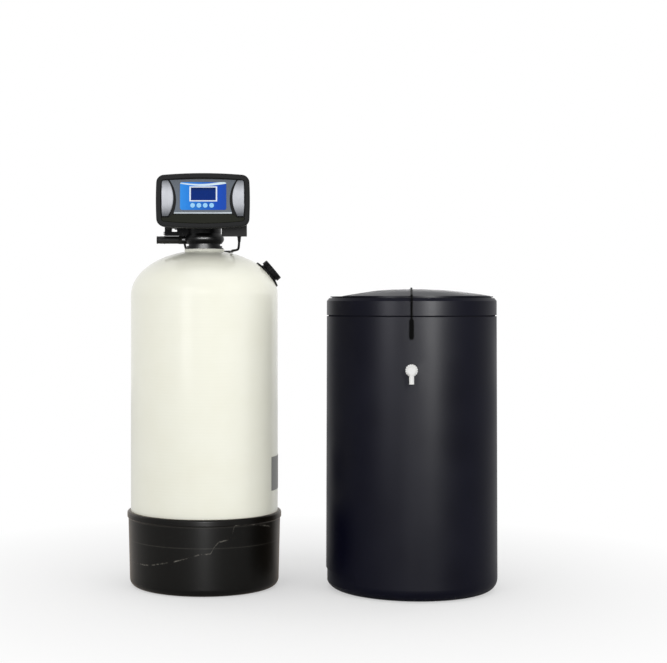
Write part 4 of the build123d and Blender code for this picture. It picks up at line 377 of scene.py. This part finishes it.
def printed_label():
    """Polyester film, printed: light blue to deep blue under a satin skin, with a plain white
    curve along the top and a white frame round the display."""
    material, tree, place = blank("polyester_film_printed_blue")
    parts = add(tree, "ShaderNodeSeparateXYZ", {"Vector": place})
    side = add(tree, "ShaderNodeMapRange", {"Value": parts.outputs["X"],
                                            FROM_LOW: LABEL_MIDDLE[0] - LABEL_HALF[0],
                                            FROM_HIGH: LABEL_MIDDLE[0] + LABEL_HALF[0]})
    blues = ((0.0, "#3892EA"), (0.16, "#3088E4"), (0.5, "#276ECC"), (0.8, "#1D50BE"),
             (1.0, "#224EB0"))
    fade = add(tree, "ShaderNodeValToRGB", {"Fac": side.outputs[0]},
               [(share, linear(colour)) for share, colour in blues])
    # the white curve: its lower edge dips 4.5 mm in the middle, and it widens from 2 mm to 5.6 mm
    curve_foot = LABEL_MIDDLE[1] + LABEL_HALF[1] - 3.2 * MM
    bend = add(tree, "ShaderNodeMath", {0: side.outputs[0], 1: math.pi}, operation="MULTIPLY")
    dip = add(tree, "ShaderNodeMath", {0: bend.outputs[0]}, operation="SINE")
    lower = add(tree, "ShaderNodeMath", {0: dip.outputs[0], 1: -4.5 * MM, 2: curve_foot},
                operation="MULTIPLY_ADD")
    above = add(tree, "ShaderNodeMath", {0: parts.outputs["Z"], 1: lower.outputs[0]},
                operation="SUBTRACT")
    thick = add(tree, "ShaderNodeMath", {0: side.outputs[0], 1: 3.6 * MM, 2: 2.0 * MM},
                operation="MULTIPLY_ADD")
    over = add(tree, "ShaderNodeMath", {0: thick.outputs[0], 1: above.outputs[0]},
               operation="SUBTRACT")
    low_edge = add(tree, "ShaderNodeMapRange", {"Value": above.outputs[0], FROM_LOW: 0.0,
                                                FROM_HIGH: 0.5 * MM})
    high_edge = add(tree, "ShaderNodeMapRange", {"Value": over.outputs[0], FROM_LOW: -1.2 * MM,
                                                 FROM_HIGH: 0.8 * MM})
    sweep = add(tree, "ShaderNodeMath", {0: low_edge.outputs[0], 1: high_edge.outputs[0]},
                operation="MULTIPLY")
    curved = add(tree, "ShaderNodeMix", {"Factor": sweep.outputs[0], FIRST: fade.outputs["Color"],
                                         SECOND: linear("#DDF0F8")}, data_type="RGBA")
    # the raised frame round the display: 0.05 mm wider on each side, so that its walls are white too
    inside = [add(tree, "ShaderNodeMath", {0: away_from(tree, parts.outputs[axis], BEZEL_MIDDLE[i]),
                                           1: BEZEL_HALF[i] + 0.05 * MM},
                  operation="LESS_THAN").outputs[0]
              for i, axis in enumerate("XZ")]
    bezel = add(tree, "ShaderNodeMath", {0: inside[0], 1: inside[1]}, operation="MULTIPLY")
    framed = add(tree, "ShaderNodeMix", {"Factor": bezel.outputs[0], FIRST: curved.outputs[MIXED],
                                         SECOND: linear("#E4EEFA")}, data_type="RGBA")
    # the film's skin, real grain 0.05 mm, drawn 0.4 mm wide
    skin = add(tree, "ShaderNodeTexNoise", {"Vector": place, "Scale": repeats(0.4)})
    bump = add(tree, "ShaderNodeBump", {"Height": skin.outputs["Fac"], "Strength": 0.2,
                                        "Distance": 0.02 * MM})
    return surface(material, {"Base Color": framed.outputs[MIXED], "Normal": bump.outputs["Normal"],
                              "Roughness": 0.3, "IOR": 1.5, "Specular IOR Level": 0.06})


def display_layer(name, colour, top_shade_colour, shade_foot, gloss):
    """One layer of the display: deep blue, with painted shade that darkens it along its top from
    shade_foot millimetres above the middle, and a faint grid of cells. gloss gives the shader's own
    values."""
    material, tree, place = blank(name)
    parts = add(tree, "ShaderNodeSeparateXYZ", {"Vector": place})
    # painted shade: the layer is drawn darker along its top
    rise = add(tree, "ShaderNodeMapRange", {"Value": parts.outputs["Z"],
                                            FROM_LOW: BEZEL_MIDDLE[1] + shade_foot * MM,
                                            FROM_HIGH: BEZEL_MIDDLE[1] + 13 * MM})
    tone = add(tree, "ShaderNodeMix", {"Factor": rise.outputs[0], FIRST: linear(colour),
                                       SECOND: linear(top_shade_colour)}, data_type="RGBA")
    # real cells are 0.5 mm, drawn 1.6 mm wide so that they show
    upright = add(tree, "ShaderNodeMapping", {"Vector": place, "Rotation": (math.pi / 2, 0, 0)})
    cells = add(tree, "ShaderNodeTexBrick", {
        "Vector": upright.outputs[0], "Scale": 1.0, "Mortar Size": 0.06 * MM,
        "Brick Width": 1.6 * MM, "Row Height": 1.6 * MM, "Color1": (1, 1, 1, 1),
        "Color2": (0.94, 0.94, 0.94, 1), "Mortar": (0.8, 0.8, 0.8, 1)})
    shade = add(tree, "ShaderNodeMix", {"Factor": 1.0, FIRST: tone.outputs[MIXED],
                                        SECOND: cells.outputs["Color"]},
                data_type="RGBA", blend_type="MULTIPLY")
    return surface(material, {"Base Color": shade.outputs[MIXED], **gloss})


def circuit_board():
    """Epoxy laminate, etched, under green solder resist: darker tracks show through the resist."""
    material, tree, place = blank("epoxy_laminate_etched_green")
    upright = add(tree, "ShaderNodeMapping", {"Vector": place, "Rotation": (math.pi / 2, 0, 0)})
    tracks = add(tree, "ShaderNodeTexBrick", {
        "Vector": upright.outputs[0], "Scale": 1.0, "Mortar Size": 0.4 * MM, "Brick Width": 9 * MM,
        "Row Height": 3 * MM, "Color1": linear("#1F6B3A"), "Color2": linear("#236F40"),
        "Mortar": linear("#164F2B")})
    return surface(material, {"Base Color": tracks.outputs["Color"], "Roughness": 0.4, "IOR": 1.5})


# One finish for each slot of the record. The comments say what each material gives the eye.
finishes = {
    "wound_shell": fibreglass_wound(),
    "boot_plastic": boot_polyethylene(),
    "brine_plastic": tank_polyethylene("polyethylene_rotation_moulded_tank", 0.4),
    "lid_plastic": tank_polyethylene("polyethylene_moulded_lid", 0.36),
    "wing_silver": silver_wings(),
    "fascia_plastic": fascia_paint(),
    "label_film": printed_label(),
    # liquid crystal cell, off: deep blue glass with a satin polariser
    "module_black": display_layer("liquid_crystal_cell_blue", "#17359A", "#172F63", 5,
                                  {"Roughness": 0.3, "IOR": 1.5, "Specular IOR Level": 0.1}),
    # acrylic, moulded and tinted so deep that it takes the display's own blue
    "display_glass": display_layer("acrylic_moulded_tinted_blue", "#0B2E7C", "#10264E", 6,
                                   {"Roughness": 0.2, "IOR": 1.49, "Specular IOR Level": 0.04}),
    "board_green": circuit_board(),
    # natural polyethylene, blow moulded: milky and a little waxy
    "liner_plastic": moulded("polyethylene_blow_moulded_liner", "#E2E2DC", "#EAEAE4", 0.45, 3,
                             0.05),
    # nylon with glass fibre, moulded: the glass leaves a dull, slightly rough skin, ivory or black
    "insert_plastic": moulded("nylon_glass_filled_ivory", "#E4E4D8", "#EAEADF", 0.5, 0.8, 0.03,
                              0.2),
    "valve_plastic": moulded("nylon_glass_filled_valve", "#060607", "#0C0C0E", 0.35, 0.9, 0.03,
                             0.15),
    "port_plastic": moulded("nylon_glass_filled_port", "#0A0A0B", "#121213", 0.42, 0.9, 0.04, 0.2),
    # plain nylon, moulded: dark grey black with a soft shine
    "fitting_plastic": moulded("nylon_moulded_fittings", "#191918", "#222221", 0.36, 1.2, 0.03,
                               0.3),
    "sensor_plastic": moulded("nylon_moulded_sensor", "#0A0A0A", "#121212", 0.42, 1.2, 0.03, 0.2),
    # ABS from a spark-eroded mould: satin black, with a fine grain
    "head_plastic": moulded("abs_spark_eroded_black", "#0F1011", "#151617", 0.42, 0.8, 0.03, 0.22),
    # ABS from a polished mould: glossy olive black, hardly any grain
    "trim_gloss": moulded("abs_polished_olive_black", "#17190F", "#1C1E14", 0.25, 6, 0.02, 0.12),
    # aluminium foil, rolled and anodised for printing: matt grey and faintly lined
    "plate_foil": drawn_metal("aluminium_foil_matt_grey", "#8E8E8C", 0.5, "Z", 0.6, 0.3),
    # quartz gravel, tumbled: dull rounded stones from brown to sand
    "gravel": grit("quartz_gravel_tumbled", ("#9C8B70", "#C9BDA4"), 5, 0.7),
    # styrene resin beads, cast: small glossy amber spheres, really 0.6 mm, drawn 1.6 mm across
    "resin_beads": grit("styrene_beads_cast", ("#B06A20", "#D9964A"), 1.6, 0.3),
    # ABS, moulded: bright white and lightly glossy
    "white_plastic": moulded("abs_moulded_white", "#E8E8E4", "#EFEFEB", 0.3, 1.5, 0.02),
    # PVC, moulded or extruded: even white, with a soft shine
    "elbow_white": moulded("pvc_moulded_white", "#E4E4E2", "#EFEFED", 0.35, 1.5, 0.02),
    "well_plastic": moulded("pvc_extruded_white", "#E2E2E2", "#ECECEC", 0.35, 4, 0.03),
    # polystyrene, foamed: chalky white beads
    "float_plastic": moulded("polystyrene_foamed_white", "#DCDCD8", "#EAEAE6", 0.7, 2.5, 0.2),
    # polypropylene, moulded: slightly waxy, black for the cap and grey for the grid
    "cap_plastic": moulded("polypropylene_moulded_cap", "#202020", "#2A2A2A", 0.45, 1.0, 0.03),
    "grid_plastic": moulded("polypropylene_moulded_grid", "#808080", "#8E8E8E", 0.5, 1.0, 0.03),
    # nitrile rubber, pressed: dull black
    "seal_rubber": moulded("nitrile_rubber_pressed", "#101010", "#181818", 0.6, 0.6, 0.02, 0.3),
    # soft PVC, extruded: smooth black sheath
    "lead_sheath": moulded("pvc_sheath_extruded", "#080808", "#0F0F0F", 0.42, 1.0, 0.02, 0.2),
    # EPDM rubber, moulded: the deepest matt black of all
    "strap_rubber": moulded("epdm_rubber_moulded", "#020202", "#050505", 0.6, 0.8, 0.03, 0.06),
    # alumina, lapped: off-white, even and almost mirror flat
    "disc_ceramic": moulded("alumina_lapped", "#E4E0D6", "#ECE8DE", 0.15, 0.3, 0.005),
    # acetal, moulded: waxy natural white
    "gear_plastic": moulded("acetal_moulded_natural", "#DEDACD", "#E8E4D8", 0.35, 1.5, 0.02),
    # silicone rubber, pressed: soft light blue keys
    "button_blue": moulded("silicone_keys_pressed_blue", "#8CCBFA", "#9AD6FF", 0.35, 1.0, 0.01),
    # brass, cut: warm yellow, with fine lines along the work
    "brass_part": drawn_metal("brass_cut", "#D9B25E", 0.28, "Y", 0.4),
    # steel, zinc plated: even light grey, with the lines of drawing or rolling
    "motor_steel": drawn_metal("steel_zinc_plated_drawn", "#B9BABA", 0.35, "Y", 0.5),
    "plate_steel": drawn_metal("steel_zinc_plated_rolled", "#BDBEBE", 0.38, "X", 0.5),
    # stainless steel, turned: brighter, with finer lines
    "screw_steel": drawn_metal("steel_stainless_turned", "#B4B4B6", 0.3, "Y", 0.3),
    # chrome, electroplated on ABS: a bright even mirror with slight polishing lines
    "strip_chrome": drawn_metal("chrome_electroplated", "#8A9094", 0.2, "X", 0.6),
}
slot_of = {part["node"]: part["material_slot"] for part in frame["record"]["subparts"]}
for node_name, node in nodes.items():
    node.data.materials.clear()
    node.data.materials.append(finishes[slot_of[node_name]])


# The sensor's lead: a smooth tube along its route
curve = bpy.data.curves.new("sensor_lead_line", "CURVE")
curve.dimensions = "3D"
run = curve.splines.new("NURBS")
run.points.add(len(LEAD_ROUTE) - 1)
for point, (x, y, z) in zip(run.points, LEAD_ROUTE):
    point.co = (x * MM, y * MM, z * MM, 1.0)
run.order_u = 3
run.use_endpoint_u = True
run.resolution_u = 12
curve.bevel_depth = LEAD_DIAMETER / 2
curve.bevel_resolution = 4
curve.use_fill_caps = True
curve.materials.append(finishes["lead_sheath"])
lead = bpy.data.objects.new("lead_line", curve)
bpy.context.scene.collection.objects.link(lead)
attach(lead, "stand")
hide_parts("sensor_lead")


def relief_rings():
    """Tree for a strain relief: rings stacked along Z, which taper from the root's radius to the
    tip's, over a plain sleeve. Returns the tree and the identifiers of its inputs."""
    ring_share, sleeve_share, sides = 0.62, 0.8, 24
    tree = bpy.data.node_groups.new("relief_rings", "GeometryNodeTree")
    tree.interface.new_socket("Geometry", in_out="OUTPUT", socket_type="NodeSocketGeometry")
    kinds = {"Rings": "NodeSocketInt", "Pitch": "NodeSocketFloat", "Root": "NodeSocketFloat",
             "Tip": "NodeSocketFloat", "Finish": "NodeSocketMaterial"}
    inputs = {name: tree.interface.new_socket(name, in_out="INPUT", socket_type=kind).identifier
              for name, kind in kinds.items()}
    given = add(tree, "NodeGroupInput")
    last = add(tree, "ShaderNodeMath", {0: given.outputs["Rings"], 1: 1.0}, operation="SUBTRACT")
    # the rings, a pitch apart
    step = add(tree, "ShaderNodeCombineXYZ", {"Z": given.outputs["Pitch"]})
    line = add(tree, "GeometryNodeMeshLine",
               {"Count": given.outputs["Rings"], "Offset": step.outputs[0]}, mode="OFFSET")
    index = add(tree, "GeometryNodeInputIndex")
    share = add(tree, "ShaderNodeMath", {0: index.outputs[0], 1: last.outputs[0]},
                operation="DIVIDE")
    width = add(tree, "ShaderNodeMapRange",
                {"Value": share.outputs[0], TO_LOW: given.outputs["Root"],
                 TO_HIGH: given.outputs["Tip"]})
    tall = add(tree, "ShaderNodeMath", {0: given.outputs["Pitch"], 1: ring_share},
               operation="MULTIPLY")
    size = add(tree, "ShaderNodeCombineXYZ", {"X": width.outputs[0], "Y": width.outputs[0],
                                              "Z": tall.outputs[0]})
    ring = add(tree, "GeometryNodeMeshCylinder",
               {"Vertices": sides, "Side Segments": 1, "Radius": 1.0, "Depth": 1.0})
    rings = add(tree, "GeometryNodeInstanceOnPoints", {"Points": line.outputs[0],
                                                       "Instance": ring.outputs["Mesh"],
                                                       "Scale": size.outputs[0]})
    # the sleeve inside them
    slim_root, slim_tip = (
        add(tree, "ShaderNodeMath", {0: given.outputs[end], 1: sleeve_share}, operation="MULTIPLY")
        for end in ("Root", "Tip"))
    length = add(tree, "ShaderNodeMath", {0: given.outputs["Pitch"], 1: last.outputs[0]},
                 operation="MULTIPLY")
    sleeve = add(tree, "GeometryNodeMeshCone",
                 {"Vertices": sides, "Radius Bottom": slim_root.outputs[0],
                  "Radius Top": slim_tip.outputs[0], "Depth": length.outputs[0]})
    whole = add(tree, "GeometryNodeJoinGeometry", {0: rings.outputs[0]})
    tree.links.new(sleeve.outputs["Mesh"], whole.inputs[0])
    solid = add(tree, "GeometryNodeRealizeInstances", {0: whole.outputs[0]})
    coloured = add(tree, "GeometryNodeSetMaterial", {"Geometry": solid.outputs[0],
                                                     "Material": given.outputs["Finish"]})
    add(tree, "NodeGroupOutput", {0: coloured.outputs[0]})
    return tree, inputs


def strain_relief(name, tree, inputs, root):
    """One strain relief of the lead as a plain mesh, hanging from its root, a point in
    millimetres."""
    sizes = {"Rings": 6, "Pitch": 2.0 * MM, "Root": 4.2 * MM, "Tip": 2.9 * MM,
             "Finish": finishes["lead_sheath"]}
    holder = bpy.data.objects.new(name + "_holder", bpy.data.meshes.new(name + "_holder"))
    bpy.context.scene.collection.objects.link(holder)
    modifier = holder.modifiers.new("rings", "NODES")
    modifier.node_group = tree
    for key, value in sizes.items():
        modifier[inputs[key]] = value
    depsgraph = bpy.context.evaluated_depsgraph_get()
    made = bpy.data.meshes.new_from_object(holder.evaluated_get(depsgraph))
    bpy.data.objects.remove(holder)
    # a half turn about X points the taper down
    for vertex in made.vertices:
        vertex.co = Vector((root[0] * MM + vertex.co.x, root[1] * MM - vertex.co.y,
                            root[2] * MM - vertex.co.z))
    made.materials.clear()
    made.materials.append(finishes["lead_sheath"])
    piece = bpy.data.objects.new(name, made)
    bpy.context.scene.collection.objects.link(piece)
    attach(piece, "stand")
    return piece


rings_tree, rings_inputs = relief_rings()
gland_relief = strain_relief("gland_relief", rings_tree, rings_inputs, GLAND_FOOT)
sensor_relief = strain_relief("sensor_relief", rings_tree, rings_inputs, SENSOR_FOOT)


# Camera at the photograph's place: level and 3.1 m in front
FOCAL_PIXELS, PHOTO_WIDTH, SENSOR_WIDTH = 1500, 667, 36.0
view = bpy.data.cameras.new("photo_view")
view.sensor_width = SENSOR_WIDTH
view.lens = FOCAL_PIXELS / PHOTO_WIDTH * SENSOR_WIDTH
view.shift_x = 0.128
view.shift_y = -0.0472
view.clip_end = 50.0
camera = bpy.data.objects.new("photo_view", view)
camera.location = (0.090, -3.090, 0.584)
camera.rotation_euler = (math.pi / 2, 0.0, 0.0)
bpy.context.scene.collection.objects.link(camera)
bpy.context.scene.camera = camera


def softbox(name, place, aim, wide, tall, power, only_on=None, fill=False):
    """A rectangular soft lamp that faces a point, with its power in watts. only_on names the
    nodes that it lights: it draws a highlight on them or, as a fill, lights their colour, and
    nothing else shades them from it."""
    lamp = bpy.data.lights.new(name, "AREA")
    lamp.shape = "RECTANGLE"
    lamp.size, lamp.size_y = wide, tall
    lamp.energy = power
    body = bpy.data.objects.new(name, lamp)
    body.location = place
    body.rotation_mode = "QUATERNION"
    body.rotation_quaternion = (Vector(aim) - Vector(place)).to_track_quat("-Z", "Y")
    bpy.context.scene.collection.objects.link(body)
    if only_on:
        lit = bpy.data.collections.new(name + "_lit")
        for node_name in only_on:
            lit.objects.link(nodes[node_name])
        body.light_linking.receiver_collection = lit
        if fill:
            body.light_linking.blocker_collection = lit
            body.visible_glossy = False
        else:
            body.visible_diffuse = False
        body.visible_transmission = False
    return body


# The studio's own soft lamps
softbox("front_box", (0.05, -2.6, 1.1), (0.1, 0.0, 0.45), 0.6, 0.8, 2.4)
softbox("left_box", (-0.84, -1.84, 0.95), (0.42, 0.0, 0.45), 0.6, 1.3, 4.5)
softbox("top_box", (0.2, -0.6, 2.4), (0.2, 0.0, 0.4), 1.6, 1.2, 3)
right_fill = softbox("right_fill", (1.6, -1.6, 0.8), (0.1, 0.0, 0.4), 0.8, 1.2, 4)
right_fill.visible_glossy = False

# Strips that draw the upright highlights on the brine tank, and those along the boot and the bowl
brine_side = ("brine_tank", "brine_lid")
softbox("brine_right_strip", (1.16, -2.11, 1.15), (0.42, 0.0, 0.6), 0.12, 1.1, 240, brine_side)
softbox("brine_left_strip", (-0.84, -1.84, 1.15), (0.42, 0.0, 0.6), 0.4, 1.1, 82, brine_side)
softbox("brine_low_strip", (0.09, -2.9, 0.35), (0.42, 0.0, 0.3), 0.1, 0.8, 24, brine_side)
softbox("boot_strip", (0.09, -2.9, 0.5), (0.0, 0.0, 0.1), 0.08, 0.9, 75, ("tank_boot",))
softbox("bowl_strip", (-0.15, -2.2, 1.08), (0.0, 0.0, 0.71), 2.2, 0.14, 300, ("valve_body",))

# Fills for the dome under the head and for the shell's right side
softbox("dome_fill", (0.0, -1.3, 0.95), (0.0, 0.0, 0.69), 0.6, 0.2, 1.6,
        ("tank_shell", "neck_insert"), fill=True)
softbox("shell_edge_fill", (1.15, -0.45, 0.3), (0.0, 0.0, 0.34), 0.4, 1.0, 3.2,
        ("tank_shell", "data_plate"), fill=True)

# A sheen on the lid's crown, and a warm rim on the boot's right side
softbox("crown_strip", (0.65, 3.0, 0.85), (0.44, 0.0, 0.6), 0.8, 0.4, 9.0, ("brine_lid",))
rim = softbox("boot_rim_strip", (0.75, 0.05, 0.1), (0.0, 0.0, 0.08), 0.3, 0.3, 9.0, ("tank_boot",))
rim.data.color = (1.0, 0.86, 0.66)

# White surround: plain white to the camera and in mirrors and glass, softer light on the object
LIGHT_LEVEL, WHITE = 0.75, 1.0
world = bpy.data.worlds.new("studio_surround")
world.use_nodes = True
bpy.context.scene.world = world
sky = world.node_tree
sky.nodes.clear()
ray = add(sky, "ShaderNodeLightPath")
seen = add(sky, "ShaderNodeMath",
           {0: ray.outputs["Is Camera Ray"], 1: ray.outputs["Is Glossy Ray"]}, operation="MAXIMUM")
seen = add(sky, "ShaderNodeMath", {0: seen.outputs[0], 1: ray.outputs["Is Transmission Ray"]},
           operation="MAXIMUM")
strength = add(sky, "ShaderNodeMapRange",
               {"Value": seen.outputs[0], TO_LOW: LIGHT_LEVEL, TO_HIGH: WHITE})
glow = add(sky, "ShaderNodeBackground", {"Color": (1, 1, 1, 1), "Strength": strength.outputs[0]})
add(sky, "ShaderNodeOutputWorld", {"Surface": glow.outputs[0]})

# Pale floor: it keeps the shadow near the object and runs out to plain white
FLOOR_REACH = 6.0
# the share of plain white, least near the object's middle and whole a metre from it
FADE_START, FADE_END, LEAST_WHITE = 0.3, 1.0, 0.45
corners = [(-FLOOR_REACH, -FLOOR_REACH, 0), (FLOOR_REACH, -FLOOR_REACH, 0),
           (FLOOR_REACH, FLOOR_REACH, 0), (-FLOOR_REACH, FLOOR_REACH, 0)]
floor_mesh = bpy.data.meshes.new("floor")
floor_mesh.from_pydata(corners, [], [(0, 1, 2, 3)])
floor = bpy.data.objects.new("floor", floor_mesh)
bpy.context.scene.collection.objects.link(floor)
floor_paint, pale, ground = blank("studio_floor_matt_white")
matt = add(pale, "ShaderNodeBsdfPrincipled", {"Base Color": linear("#F4F4F4"), "Roughness": 0.9,
                                              "Specular IOR Level": 0.0})
white = add(pale, "ShaderNodeEmission", {"Color": (1, 1, 1, 1), "Strength": WHITE})
centred = add(pale, "ShaderNodeMapping", {"Vector": ground, "Location": (-0.2, 0.0, 0.0)})
far = add(pale, "ShaderNodeVectorMath", {0: centred.outputs[0]}, operation="LENGTH")
fade = add(pale, "ShaderNodeMapRange", {"Value": far.outputs["Value"], FROM_LOW: FADE_START,
                                        FROM_HIGH: FADE_END, TO_LOW: LEAST_WHITE, TO_HIGH: 1.0})
path = add(pale, "ShaderNodeLightPath")
looked = add(pale, "ShaderNodeMath", {0: fade.outputs[0], 1: path.outputs["Is Camera Ray"]},
             operation="MULTIPLY")
both = add(pale, "ShaderNodeMixShader", {"Fac": looked.outputs[0], 1: matt.outputs["BSDF"],
                                         2: white.outputs[0]})
add(pale, "ShaderNodeOutputMaterial", {"Surface": both.outputs[0]})
floor_mesh.materials.append(floor_paint)

bpy.context.scene.view_settings.view_transform = "Standard"
